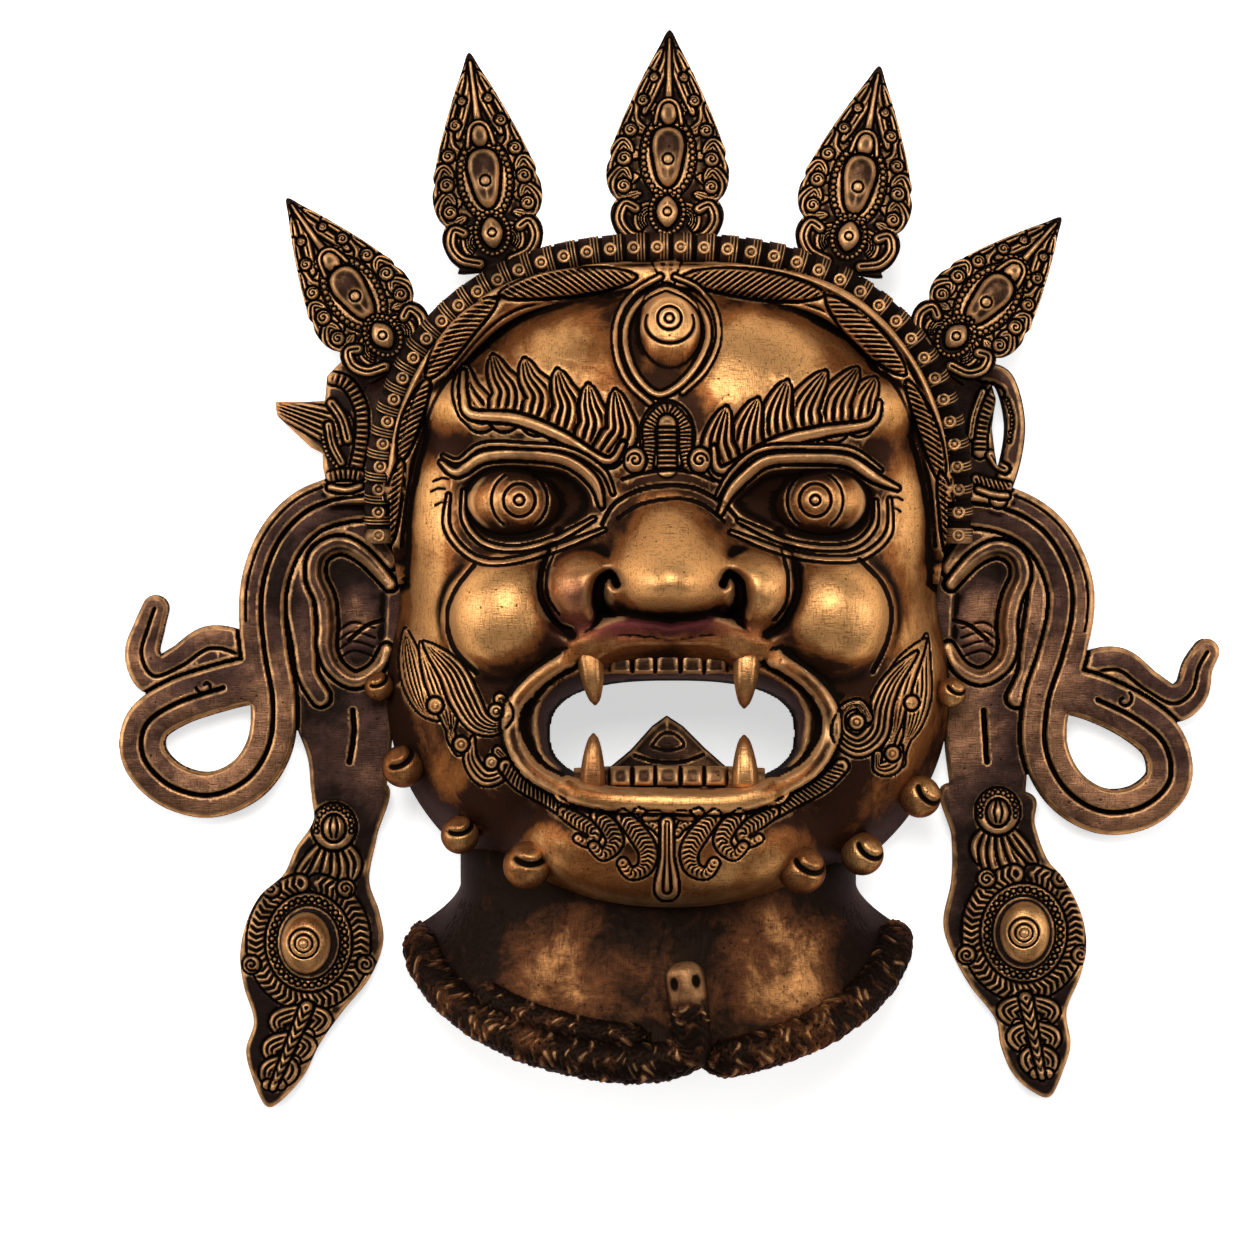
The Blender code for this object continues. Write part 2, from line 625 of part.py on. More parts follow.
def ear_forms(side):
    """The long ear as a thick plate with its two folds, and the slit in the stretched lobe."""
    low = RIM_CLEARANCE
    top = (low + EAR_THICKNESS) / UNIT
    forms = [plate("ear", mirrored(EAR_OUTLINE, side), low, EAR_THICKNESS)]
    for path, radius, lift in ((OUTER_EAR_RIDGE, 2.3, 0.8), (INNER_EAR_RIDGE, 2.0, 0.4)):
        forms.append(rod("ear_ridge", [(*p, top + lift) for p in mirrored(path, side)], radius))
    return forms


def strands(name, path, half_gap, radius, height, taper=None):
    """Two bars side by side along a flat path, like the two halves of a pleated ribbon."""
    line = smooth_path(path)
    forms = []
    for offset in (-half_gap, half_gap):
        points = []
        for i, p in enumerate(line):
            along = line[min(i + 1, len(line) - 1)] - line[max(i - 1, 0)]
            across = Vector((-along.y, along.x, 0)).normalized() * offset
            points.append((p.x + across.x, p.y + across.y, height))
        forms.append(rod(name, points, radius, taper, smooth=False))
    return forms


def ribbon_forms(name):
    """The ribbon that runs over the ear, loops outwards and ends in a curled tip."""
    height = RIM_CLEARANCE / UNIT + 5.0
    end_of_tip = dict(taper=lambda t: 1.0 - 0.35 * t)
    return (
        strands("ribbon", RIBBON_PATHS[name], 2.6, 3.2, height)
        + strands("ribbon_curl", RIBBON_CURLS[name], 1.9, 2.7, height, **end_of_tip)
    )


def pendant_forms(name):
    """The drop pendant: a pointed plate with a domed gem in a ring, petals round it and a bud above."""
    side = SIDES[name]
    low = RIM_CLEARANCE
    top = (low + PENDANT_THICKNESS) / UNIT
    gem_x, gem_y = PENDANT_GEMS[name]
    bud = PENDANT_BUDS[name]
    ring = [(gem_x + 9.0 * math.cos(a), gem_y + 10.5 * math.sin(a), top)
            for a in (2 * math.pi * i / 32 for i in range(33))]
    forms = [
        plate("pendant", PENDANT_OUTLINES[name], low, PENDANT_THICKNESS),
        ellipsoid("pendant_gem", (gem_x, gem_y, top), (6.4, 7.8, 5.8), segments=20),
        ellipsoid("pendant_boss", (gem_x, gem_y, top + 4.6), (2.8, 2.8, 2.2), segments=12),
        ellipsoid("bud", (*bud, top), (3.6, 4.0, 3.2), segments=16),
        rod("pendant_ring", ring, 1.2, smooth=False, sides=2),
        rod("pendant_tail", [(gem_x - 1.5, gem_y - 14, top), (gem_x - 4.0 * -side, gem_y - 36, top)], 2.4, pointed),
    ]
    for i in range(10):
        angle = 2 * math.pi * (i + 0.5) / 10
        x, y = gem_x + 13.0 * math.cos(angle), gem_y + 15.0 * math.sin(angle)
        forms.append(ellipsoid("petal", (x, y, top - 0.5), (3.0, 2.2, 2.0), math.degrees(angle), segments=12))
    return forms


def snake_forms():
    """The snake round the collar: two overlapping lengths, with the head raised beside the middle."""
    def on_rim(deg, inset, drop):
        a = math.radians(deg)
        radius_x, radius_z = COLLAR_RADIUS - 0.5 - inset, 49.0 - inset
        return (
            NECK_X + radius_x * math.cos(a),
            COLLAR_Y - COLLAR_DIP * math.sin(a) - drop,
            radius_z * math.sin(a),
        )

    left = [on_rim(180 - 11 * i, 0.0, 0.5) for i in range(9)]
    head_neck = [(4.5, -118.5, 51.0), (5.0, -110.0, 52.5), (4.0, -101.0, 52.0), (3.0, -97.5, 51.5)]
    right = [on_rim(11 * i, 0.5, 0.0) for i in range(8)] + [(8.0, -119.0, 48.0)]
    second = [on_rim(140 - 8 * i, 1.5, -6.0) for i in range(7)]
    return [
        rod("snake_left", left[:-1] + [(-6.0, -121.5, 49.5)] + head_neck, 4.6, blunt),
        rod("snake_right", right, 4.6, blunt),
        rod("snake_second", second, 3.8, blunt),
        ellipsoid("snake_head", (3.5, -98.0, 53.0), (4.0, 3.6, 3.6), segments=16),
    ]


# The casting

def make_mask():
    head = plain_head()
    hollow = cavity(head)
    surface = Surface(head)
    forms = [head]
    for side in (LEFT, RIGHT):
        forms += eye_forms(surface, side) + brow_forms(surface, side) + fan_forms(side) + ear_forms(side)
    forms += third_eye_forms(surface) + hood_forms(surface) + lip_forms(surface)
    forms += beard_forms(surface) + wart_forms(surface) + band_forms() + snake_forms()
    for leaf in CROWN_LEAVES.values():
        forms += leaf_forms(*leaf)
    for name in SIDES:
        forms += ribbon_forms(name) + pendant_forms(name)
    mask = fuse("mask", forms, FORM_VOXEL, 1, WORKING_FACES)
    mask = cut(mask, funnel("mouth", 0.0, 90.0, 30.0))
    mask = fuse("mask", [mask] + tooth_forms(), FORM_VOXEL, 1, WORKING_FACES)
    mask = cut(mask, hollow)
    mask = thinned(mask, CASTING_FACES)
    floor = new_object("floor_cut", bpy.data.meshes.new("floor_cut"))
    block = bmesh.new()
    bmesh.ops.create_cube(block, size=1.0, matrix=Matrix.Translation((0, 0, -0.5)))
    block.to_mesh(floor.data)
    block.free()
    return cut(mask, floor)


def centre_on_floor(form):
    """Moves the mesh so that the middle of its box is over the origin and its rim is at height 0."""
    xs, ys, zs = zip(*(v.co for v in form.data.vertices))
    form.data.transform(Matrix.Translation((
        -(min(xs) + max(xs)) / 2,
        -(min(ys) + max(ys)) / 2,
        -min(zs),
    )))


def bronze():
    material = bpy.data.materials.new("aged_bronze")
    material.use_nodes = True
    shader = material.node_tree.nodes["Principled BSDF"]
    shader.inputs["Base Color"].default_value = (0.23, 0.10, 0.035, 1.0)
    shader.inputs["Metallic"].default_value = 1.0
    shader.inputs["Roughness"].default_value = 0.38
    return material


mask = make_mask()
centre_on_floor(mask)
tools_collection.objects.unlink(mask)
casting_collection.objects.link(mask)
mask.name = "mask"
mask.hide_render = False
mask.display_type = "TEXTURED"
mask.data.materials.append(bronze())
mask.data.shade_smooth()
mask.data.set_sharp_from_angle(angle=math.radians(50))
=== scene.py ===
# %% [markdown]
# # A cast bronze Bhairab mask
# The real mask is one lost-wax casting: a maker models the face in wax, carves the ornament into it, casts it in
# bronze, darkens it and then rubs the high spots bright. Here the form is built the same way. Each part is a height
# map that is raised and cut by strokes, like wax under a tool, and is then meshed as a closed body. All places below
# are drawn in millimetres, with X to the right, Y to the crown and Z out of the face.

# %% Load the frame
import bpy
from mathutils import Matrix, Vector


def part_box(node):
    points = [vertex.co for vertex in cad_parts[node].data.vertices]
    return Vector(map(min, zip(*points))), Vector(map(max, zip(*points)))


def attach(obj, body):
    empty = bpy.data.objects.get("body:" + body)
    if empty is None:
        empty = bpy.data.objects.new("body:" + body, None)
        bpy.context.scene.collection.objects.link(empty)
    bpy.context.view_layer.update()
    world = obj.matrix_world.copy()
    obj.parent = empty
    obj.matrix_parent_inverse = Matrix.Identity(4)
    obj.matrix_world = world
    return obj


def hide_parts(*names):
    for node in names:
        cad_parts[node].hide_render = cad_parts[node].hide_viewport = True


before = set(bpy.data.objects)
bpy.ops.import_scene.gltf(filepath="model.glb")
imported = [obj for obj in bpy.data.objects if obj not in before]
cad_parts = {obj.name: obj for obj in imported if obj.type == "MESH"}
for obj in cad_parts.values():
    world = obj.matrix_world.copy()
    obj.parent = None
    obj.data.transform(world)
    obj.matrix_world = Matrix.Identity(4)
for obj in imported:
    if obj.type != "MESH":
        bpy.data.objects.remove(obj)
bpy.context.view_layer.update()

# %% Blender's modules, and the drawing's scale
import math

import bmesh
import bpy
import numpy as np
from mathutils import Matrix, Vector

DRAWN_TALL = 269.43  # tip to tip, in the drawing's millimetres
DRAWN_CENTRE = (0.28, -0.36)  # the drawing's point over the frame's origin
LOW, HIGH = (Vector(corner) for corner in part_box("mask"))
MM = (HIGH.y - LOW.y) / DRAWN_TALL
PLAN_CENTRE = (LOW + HIGH) / 2
print("one drawn millimetre is", round(MM, 6), "m")

# %% [markdown]
# ## Strokes on a height map
# A sculptor's tool leaves a stroke: a path with a width, a height and a section. One class holds the map and the few
# strokes that all the ornament here is made of. It works on plain NumPy arrays, because a height can then be pushed,
# cut and blurred in one line, which modifiers on a mesh can't do at this fineness. For every point near a path it
# finds the distance to the path, how far along it lies, and on which side.

# %% Smooth paths
def curve(points, closed=False, step=0.6):
    """Points along a smooth curve through the given ones (a Catmull-Rom spline)."""
    given = np.asarray(points, float)
    n = len(given)
    spans = n if closed else n - 1
    out = []
    for i in range(spans):
        a = given[(i - 1) % n] if closed or i else given[0]
        b, c = given[i], given[(i + 1) % n]
        d = given[(i + 2) % n] if closed or i + 2 < n else given[-1]
        pieces = max(1, int(np.linalg.norm(c - b) / step))
        t = (np.arange(pieces) / pieces)[:, None]
        out.append(0.5 * (2 * b + (c - a) * t + (2 * a - 5 * b + 4 * c - d) * t ** 2
                          + (3 * b - a - 3 * c + d) * t ** 3))
    out.append(given[:1] if closed else given[-1:])
    return np.vstack(out)


def spiral(cx, cy, start, end, from_deg, turns):
    """A flat scroll round a centre, from one radius to another."""
    t = np.linspace(0, 1, max(8, int(abs(turns) * 20)))
    radius = start + (end - start) * t
    angle = math.radians(from_deg) + turns * 2 * math.pi * t
    return np.stack([cx + radius * np.cos(angle), cy + radius * np.sin(angle)], 1)


def flip(points):
    """The same path on the other side of the face."""
    return np.asarray(points, float) * (-1, 1)


def oval(cx, cy, rx, ry, turn_deg=0.0, from_deg=90.0, sweep=360.0, n=48):
    a = np.radians(from_deg + np.linspace(0, sweep, n))
    c, s = math.cos(math.radians(turn_deg)), math.sin(math.radians(turn_deg))
    x, y = rx * np.cos(a), ry * np.sin(a)
    return np.stack([cx + c * x - s * y, cy + s * x + c * y], 1)


# %% The height map
def blur(field, sigma):
    """A Gaussian blur, sigma in cells."""
    taps = np.exp(-0.5 * (np.arange(-int(3 * sigma) - 1, int(3 * sigma) + 2) / sigma) ** 2)
    taps /= taps.sum()
    half = len(taps) // 2
    for axis in (0, 1):
        pad = [(half, half) if a == axis else (0, 0) for a in (0, 1)]
        wide = np.pad(field, pad, mode="edge")
        size = field.shape[axis]
        field = sum(w * (wide[i:i + size] if axis == 0 else wide[:, i:i + size]) for i, w in enumerate(taps))
    return field


def smooth_max(a, b, soft):
    gap = np.maximum(soft - np.abs(a - b), 0.0) / soft
    return np.maximum(a, b) + gap * gap * soft / 4


def rise(x):
    """A soft step from 0 to 1."""
    x = np.clip(x, 0, 1)
    return x * x * (3 - 2 * x)


class Relief:
    def __init__(self, x0, x1, y0, y1, cell=0.2, base=0.0):
        self.x, self.y = np.arange(x0, x1 + cell, cell), np.arange(y0, y1 + cell, cell)
        self.cell = cell
        self.X, self.Y = np.meshgrid(self.x, self.y)
        self.base = np.full(self.X.shape, float(base))
        self.cut = np.zeros_like(self.base)
        self.sd = np.full_like(self.base, 50.0)

    def window(self, low, high):
        c0, c1 = np.searchsorted(self.x, (low[0], high[0]))
        r0, r1 = np.searchsorted(self.y, (low[1], high[1]))
        return slice(r0, r1), slice(c0, c1)

    def near(self, path, reach):
        """Distance, length along and signed side of every cell within reach of the path."""
        win = self.window(path.min(0) - reach, path.max(0) + reach)
        X, Y = self.X[win], self.Y[win]
        D, S, T = np.full(X.shape, 99.0), np.zeros(X.shape), np.zeros(X.shape)
        xs, ys = self.x[win[1]], self.y[win[0]]
        run = 0.0
        for a, b in zip(path[:-1], path[1:]):
            ab = b - a
            length = math.hypot(*ab)
            if length < 1e-9:
                continue
            j = np.searchsorted(xs, (min(a[0], b[0]) - reach, max(a[0], b[0]) + reach))
            i = np.searchsorted(ys, (min(a[1], b[1]) - reach, max(a[1], b[1]) + reach))
            sub = (slice(*i), slice(*j))
            px, py = X[sub] - a[0], Y[sub] - a[1]
            t = np.clip((px * ab[0] + py * ab[1]) / length ** 2, 0, 1)
            d = np.hypot(px - t * ab[0], py - t * ab[1])
            nearer = d < D[sub]
            D[sub][nearer] = d[nearer]
            S[sub][nearer] = (run + t * length)[nearer]
            T[sub][nearer] = (np.sign(ab[0] * py - ab[1] * px) * d)[nearer]
            run += length
        return win, D, S, T, run

    def signed(self, outline, reach):
        """Signed distance to a closed outline, negative inside."""
        win, D, _, _, _ = self.near(outline, reach)
        X, Y = self.X[win], self.Y[win]
        odd = np.zeros(X.shape, bool)
        for a, b in zip(outline[:-1], outline[1:]):
            if a[1] != b[1]:
                crosses = (a[1] > Y) != (b[1] > Y)
                odd ^= crosses & (X < (b[0] - a[0]) * (Y - a[1]) / (b[1] - a[1]) + a[0])
        D = np.minimum(D, reach)
        return win, np.where(odd, -D, D)

    def stroke(self, path, half, height, moat=0.5, deep=0.5, lines=0, line_cut=0.5, ribs=0.0, slant=0.0,
               chevron=0.0, rib_cut=0.5, crown=0.5, level=0.0, smooth=True):
        """Raises a band along the path. half may be a function of the share of the way along. lines cuts it into
        that many ridges along its length, ribs into ridges across it at that pitch, and moat digs a line round it."""
        path = curve(path) if smooth else np.asarray(path, float)
        half_at = half if callable(half) else (lambda t: half + 0 * t)
        reach = float(np.max(half_at(np.linspace(0, 1, 21)))) + moat + 2 * self.cell
        win, D, S, T, length = self.near(path, reach)
        w = np.maximum(half_at(S / length), 0.05)
        q = D / w
        body = height * np.clip(1 - q * q, 0, 1) ** crown
        if lines:
            body = body * (1 - line_cut * (0.5 + 0.5 * np.cos(math.pi * lines * (T / w + 1))))
        if ribs:
            along = S + slant * T + chevron * np.abs(T)
            body = body * (1 - rib_cut * (0.5 + 0.5 * np.cos(2 * math.pi * along / ribs)))
        cut = self.cut[win]
        inside = q < 1
        cut[inside] = (level + body)[inside]
        if moat:
            trench = (q >= 1) & (D < w + moat)
            dug = -deep * np.sin(math.pi * np.clip((D - w) / moat, 0, 1)) ** 0.7
            cut[trench] = np.minimum(cut, dug)[trench]

    def pillow(self, outline, height, edge=1.0, moat=0.5, deep=0.5, pitch=0.0, line_cut=0.4, level=0.0, smooth=True):
        """Raises a cushion inside a closed outline, with contour lines at that pitch."""
        path = curve(outline, closed=True) if smooth else np.vstack([outline, outline[:1]])
        win, sd = self.signed(path, max(edge, 4.0) + moat)
        inside = sd < 0
        body = height * np.sqrt(1 - (1 - np.clip(-sd / edge, 0, 1)) ** 2)
        if pitch:
            body = body * (1 - line_cut * (0.5 - 0.5 * np.cos(2 * math.pi * sd / pitch)))
        cut = self.cut[win]
        cut[inside] = (level + body)[inside]
        if moat:
            trench = (~inside) & (sd < moat)
            cut[trench] = np.minimum(cut, -deep * np.sin(math.pi * np.clip(sd / moat, 0, 1)) ** 0.7)[trench]

    def groove(self, path, half, deep, smooth=True, closed=False):
        """Cuts a rounded line."""
        path = curve(path, closed) if smooth else np.asarray(path, float)
        win, D, _, _, _ = self.near(path, half + self.cell)
        self.cut[win] -= deep * np.clip(1 - (D / half) ** 2, 0, 1)

    def dome(self, cx, cy, rx, ry, height, turn_deg=0.0, power=0.5, moat=0.4, deep=0.5, level=0.0, rings=()):
        """Raises an oval dome. Each of rings is a share of its radius where a line runs round it."""
        reach = max(rx, ry) + moat + self.cell
        win = self.window((cx - reach, cy - reach), (cx + reach, cy + reach))
        c, s = math.cos(math.radians(turn_deg)), math.sin(math.radians(turn_deg))
        dx, dy = self.X[win] - cx, self.Y[win] - cy
        q = np.hypot((c * dx + s * dy) / rx, (-s * dx + c * dy) / ry)
        mean = (rx + ry) / 2
        body = level + height * np.clip(1 - q * q, 0, 1) ** power
        for share, width, depth in rings:
            body = body - depth * np.clip(1 - ((q - share) * mean / width) ** 2, 0, 1)
        cut = self.cut[win]
        cut[q < 1] = body[q < 1]
        if moat:
            trench = (q >= 1) & ((q - 1) * mean < moat)
            cut[trench] = np.minimum(cut, -deep * np.sin(math.pi * np.clip((q - 1) * mean / moat, 0, 1)))[trench]

    def bead_line(self, path, radius, pitch, height, smooth=True):
        """Small round grains along a path."""
        path = curve(path) if smooth else path
        steps = np.r_[0, np.cumsum(np.hypot(*np.diff(path, axis=0).T))]
        count = max(1, round(steps[-1] / pitch))
        for d in (np.arange(count) + 0.5) * steps[-1] / count:
            self.dome(np.interp(d, steps, path[:, 0]), np.interp(d, steps, path[:, 1]),
                      radius, radius, height, moat=0.25, deep=0.25)

    def top(self):
        return self.base + self.cut

    def at(self, field, x, y):
        """The field between cells, by bilinear sampling."""
        u = np.clip((x - self.x[0]) / self.cell, 0, len(self.x) - 1.001)
        v = np.clip((y - self.y[0]) / self.cell, 0, len(self.y) - 1.001)
        j, i = u.astype(int), v.astype(int)
        u, v = u - j, v - i
        return ((field[i, j] * (1 - u) + field[i, j + 1] * u) * (1 - v)
                + (field[i + 1, j] * (1 - u) + field[i + 1, j + 1] * u) * v)


# %% [markdown]
# ## From a height map to a closed casting
# A grid of points inside the outline carries the top. Points at the border are slid onto the outline, so the edge is
# a clean curve and not a staircase. The same grid, turned over, makes the back, and one row of faces joins the two.
# Two values are stored at each point: how deep it lies in a hollow, where dark patina stays, and how much it stands
# proud, where a hand or a cloth rubs it bright. They are height minus blurred height, at two scales. On the face
# and the neck, painted highlights and painted shade are added to the second value.

# %% Meshing a height map
def mesh_object(name, verts, quads, fields=None, budget=None, place=None):
    """A mesh object in the frame's metres from drawn points, thinned to a budget of triangles."""
    points = np.asarray(verts, float)
    if place is not None:
        turn = np.array(place)
        points = points @ turn[:3, :3].T + turn[:3, 3]
    points = (points - (*DRAWN_CENTRE, 0.0)) * MM + (PLAN_CENTRE.x, PLAN_CENTRE.y, LOW.z)
    mesh = bpy.data.meshes.new(name)
    mesh.vertices.add(len(points))
    mesh.vertices.foreach_set("co", points.astype(np.float32).ravel())
    sides = len(quads[0])
    mesh.loops.add(len(quads) * sides)
    mesh.loops.foreach_set("vertex_index", np.asarray(quads, np.int32).ravel())
    mesh.polygons.add(len(quads))
    mesh.polygons.foreach_set("loop_start", np.arange(len(quads), dtype=np.int32) * sides)
    mesh.update(calc_edges=True)
    for key, values in (fields or {}).items():
        mesh.attributes.new(key, "FLOAT", "POINT").data.foreach_set("value", values.astype(np.float32))
    mesh.shade_smooth()
    obj = bpy.data.objects.new(name, mesh)
    bpy.context.scene.collection.objects.link(obj)
    triangles = len(quads) * (sides - 2)
    if budget and triangles > budget:
        thin = obj.modifiers.new("Fewer faces", "DECIMATE")
        thin.ratio = budget / triangles
        obj = bake(obj)
    return obj


def bake(obj):
    """Turns the object's modifiers into its plain mesh."""
    graph = bpy.context.evaluated_depsgraph_get()
    done = bpy.data.meshes.new_from_object(obj.evaluated_get(graph))
    obj.modifiers.clear()
    old, obj.data = obj.data, done
    bpy.data.meshes.remove(old)
    done.name = obj.name
    return obj


def rub(relief, fine=0.5, broad=2.2, wide=7.0, valley=0.6, least=0.03):
    """Where a relief is hollow, where it is worn, and which broad forms stand proud, each from 0 to 1."""
    height = relief.top()
    near = height - blur(height, fine / relief.cell)
    middle = height - blur(height, broad / relief.cell)
    far = height - blur(height, wide / relief.cell)
    middle = np.clip(middle, -0.6, 0.6)
    hollow = np.clip(-near * 4.2 - middle * valley - least, 0, 1)
    worn = np.clip(near * 4.6 + middle * 0.25, 0, 1)
    polish_and_painted_light = np.clip(0.35 + far * 0.16, 0, 1)
    return {"hollow": hollow, "worn": worn, "polish_and_painted_light": polish_and_painted_light}


def cast(name, relief, step, bottom, budget=None, place=None, squeeze=0.0, round_edge=0.0, sd=None,
         sink=None, wear_and_light=None):
    """The closed body between the relief's top and bottom(x, y), inside the outline where sd is below zero."""
    sd = relief.sd if sd is None else sd
    X, Y = np.meshgrid(np.arange(relief.x[0], relief.x[-1], step), np.arange(relief.y[0], relief.y[-1], step))
    d = relief.at(sd, X, Y)
    keep = d < 0.7 * step
    cells = keep[:-1, :-1] & keep[1:, :-1] & keep[:-1, 1:] & keep[1:, 1:]
    corners = np.zeros(X.shape, int)
    for i, j in ((0, 0), (0, 1), (1, 0), (1, 1)):
        corners[i:i + cells.shape[0], j:j + cells.shape[1]] += cells
    used, border = corners > 0, (corners > 0) & (corners < 4)
    gy, gx = np.gradient(sd, relief.cell)
    gx, gy = relief.at(gx, X, Y), relief.at(gy, X, Y)
    size = np.maximum(np.hypot(gx, gy), 1e-6)
    goal = np.minimum(d, -0.3 * step)
    if squeeze:
        close = -goal < squeeze
        goal = np.where(close, -squeeze * (np.clip(-goal, 0, squeeze) / squeeze) ** 1.7, goal)
    goal = np.where(border, 0.0, goal)
    moves = border | (d > -max(squeeze, 0.3 * step))
    X = np.where(moves, X + (goal - d) * gx / size, X)
    Y = np.where(moves, Y + (goal - d) * gy / size, Y)
    x, y, depth = X[used], Y[used], -goal[used]
    z = relief.at(relief.top(), x, y)
    if round_edge:
        z = z - round_edge * (1 - np.sqrt(1 - (1 - np.clip(depth / round_edge, 0, 1)) ** 2))
    if sink is not None:
        z = z - sink(x, y, depth)
    z = np.maximum(z, 0.1)
    low = np.minimum(bottom(x, y), z - 0.05)
    index = np.full(X.shape, -1)
    n = index[used] = np.arange(used.sum())
    n = len(n)
    i, j = np.nonzero(cells)
    a, b, c, e = index[i, j], index[i, j + 1], index[i + 1, j + 1], index[i + 1, j]
    top = np.stack([a, b, c, e], 1)
    under = np.stack([a, e, c, b], 1) + n
    wide = np.pad(cells, 1)
    walls = []
    for di, dj, p, q in ((-1, 0, a, b), (0, 1, b, c), (1, 0, c, e), (0, -1, e, a)):
        edge = ~wide[i + 1 + di, j + 1 + dj]
        p, q = p[edge], q[edge]
        walls.append(np.stack([q, p, p + n, q + n], 1))
    back = {"hollow": 0.35, "worn": 0.0, "polish_and_painted_light": 0.2, "wine": 0.0}
    wear_and_light = rub(relief) if wear_and_light is None else wear_and_light
    fields = {key: np.r_[relief.at(field, x, y), np.full(n, back[key])] for key, field in wear_and_light.items()}
    points = np.r_[np.stack([x, y, z], 1), np.stack([x, y, low], 1)]
    obj = mesh_object(name, points, np.vstack([top, under] + walls), fields, budget, place)
    spots = np.empty(len(obj.data.vertices) * 3, np.float32)
    obj.data.vertices.foreach_get("co", spots)
    spots[2::3] = np.maximum(spots[2::3], 0.0)
    obj.data.vertices.foreach_set("co", spots)
    print(f"{name}: {len(obj.data.polygons)} faces")
    return obj


# %% [markdown]
# ## The plain face
# The broad forms are caps of ellipsoids, melted into each other with a soft maximum: skull, jaw, forehead, brow
# ridges, cheeks and nose. A soft maximum leaves the fillets that wax has, where a plain union would leave creases.

# %% Broad forms
def hammered(relief, mm, depth, seed=1):
    """Adds the soft unevenness of a hand-finished wax, in lumps of about this size."""
    noise = np.random.default_rng(seed).normal(size=relief.X.shape)
    lumps = blur(noise, mm / relief.cell)
    relief.base += depth * lumps / lumps.std()


def cap(relief, centre, radii, turn_deg=0.0):
    """Height of an ellipsoid's front, falling away smoothly outside it."""
    c, s = math.cos(math.radians(turn_deg)), math.sin(math.radians(turn_deg))
    dx, dy = relief.X - centre[0], relief.Y - centre[1]
    q = ((c * dx + s * dy) / radii[0]) ** 2 + ((-s * dx + c * dy) / radii[1]) ** 2
    return centre[2] + radii[2] * np.where(q < 0.96, np.sqrt(np.clip(1 - q, 0.04, 1)), 0.2 - (q - 0.96) * 2.5)


def both(relief, form, centre, radii, turn_deg, soft):
    for side in (-1, 1):
        piece = cap(relief, (centre[0] * side, centre[1], centre[2]), radii, turn_deg * side)
        form = smooth_max(form, piece, soft)
    return form


def head_reach(angle):
    """Distance from the middle to the head's plan outline, for an array of angles: the skull and jaw ellipses."""
    reach = np.zeros_like(angle)
    c, s = np.cos(angle), np.sin(angle)
    for cx, cy, rx, ry in ((11, 14, 58.5, 66), (-11, 14, 58.5, 66), (14.5, -31, 56.5, 53.5), (-14.5, -31, 56.5, 53.5)):
        a = (c / rx) ** 2 + (s / ry) ** 2
        b = -2 * (c * cx / rx ** 2 + s * cy / ry ** 2)
        k = (cx / rx) ** 2 + (cy / ry) ** 2 - 1
        reach = np.maximum(reach, (-b + np.sqrt(np.maximum(b * b - 4 * a * k, 0))) / (2 * a))
    return reach


BAND_CENTRE_Y, BAND_HALF = 13.0, (72.5, 67.0)


def arch(inset, start_deg, end_deg, low_z, high_z, steps):
    """Points along the crown's arch in drawn millimetres."""
    a = np.radians(np.linspace(start_deg, end_deg, steps))
    power = 2 / 2.45
    x = (BAND_HALF[0] - inset) * np.sign(np.cos(a)) * np.abs(np.cos(a)) ** power
    y = (BAND_HALF[1] - inset) * np.sign(np.sin(a)) * np.abs(np.sin(a)) ** power + BAND_CENTRE_Y
    z = low_z + (high_z - low_z) * np.clip(np.sin(a), 0, 1) ** 0.8
    return np.stack([x, y, z], 1)


angles = np.linspace(-math.pi, math.pi, 721)
reach = head_reach(angles)
soft = np.convolve(np.r_[reach[-25:-1], reach, reach[1:25]], np.hanning(49) / np.hanning(49).sum(), "valid")
face = Relief(-77, 77, -90, 86, cell=0.22)
share = np.hypot(face.X, face.Y) / np.interp(np.arctan2(face.Y, face.X), angles, soft)
form = 57.5 * np.clip(1 - share ** 2.4, 0, 1) ** (1 / 2.2)
form = smooth_max(form, cap(face, (0, 36, 20), (46, 36, 37)), 10.0)
for centre, radii, turn_deg, soft_by in (((17, 38, 18), (33, 33, 38), 0, 9.0), ((31, 35, 44), (26, 9.5, 10.5), 14, 8.0)):
    form = both(face, form, centre, radii, turn_deg, soft_by)

# %% Eye sockets, cheeks, nose and chin
for side in (-1, 1):
    for cx, cy, rx, ry, deep in ((36, 15.5, 21, 12.5, 9.0), (24, 12, 10, 9, 3.0)):
        q = np.hypot((face.X - cx * side) / rx, (face.Y - cy) / ry)
        form = form - deep * np.exp(-(q ** 2.6) * 1.6)
form = blur(form, 13.0)
NOSE_ROWS = ((27, 7.0, 52), (20, 9.0, 58), (14, 12.0, 63.5), (8, 15.5, 70.5), (3, 18.0, 76.5), (-1, 19.0, 80.5),
             (-4.5, 18.5, 81.5), (-8, 17.0, 78.5), (-11, 14.5, 70), (-13.5, 12.0, 56))
rows, wide, ridge = (np.array(part) for part in zip(*NOSE_ROWS[::-1]))
wide, ridge = np.interp(face.Y, rows, wide), np.interp(face.Y, rows, ridge)
slope = np.abs(face.X / wide)
nose = 50 + (ridge - 50) * (1 - np.where(slope < 1, slope ** 2.1, 2.1 * slope - 1.1))
nose = np.where((face.Y > 27) | (face.Y < -13.5), -9.0, nose)
form = smooth_max(form, blur(nose, 6.0), 7.0)
form = both(face, form, (20.4, -4.8, 54), (9.6, 9.0, 13.0), 0, 8.0)
form = both(face, form, (40.2, -11.5, 46), (13.8, 14.8, 14.0), 0, 8.0)
form = smooth_max(form, cap(face, (0, -17, 50), (30, 9, 13.5)), 5.0)
form = smooth_max(form, cap(face, (0, -66, 42), (34, 17, 18)), 10.0)
form = blur(form, 5.5)
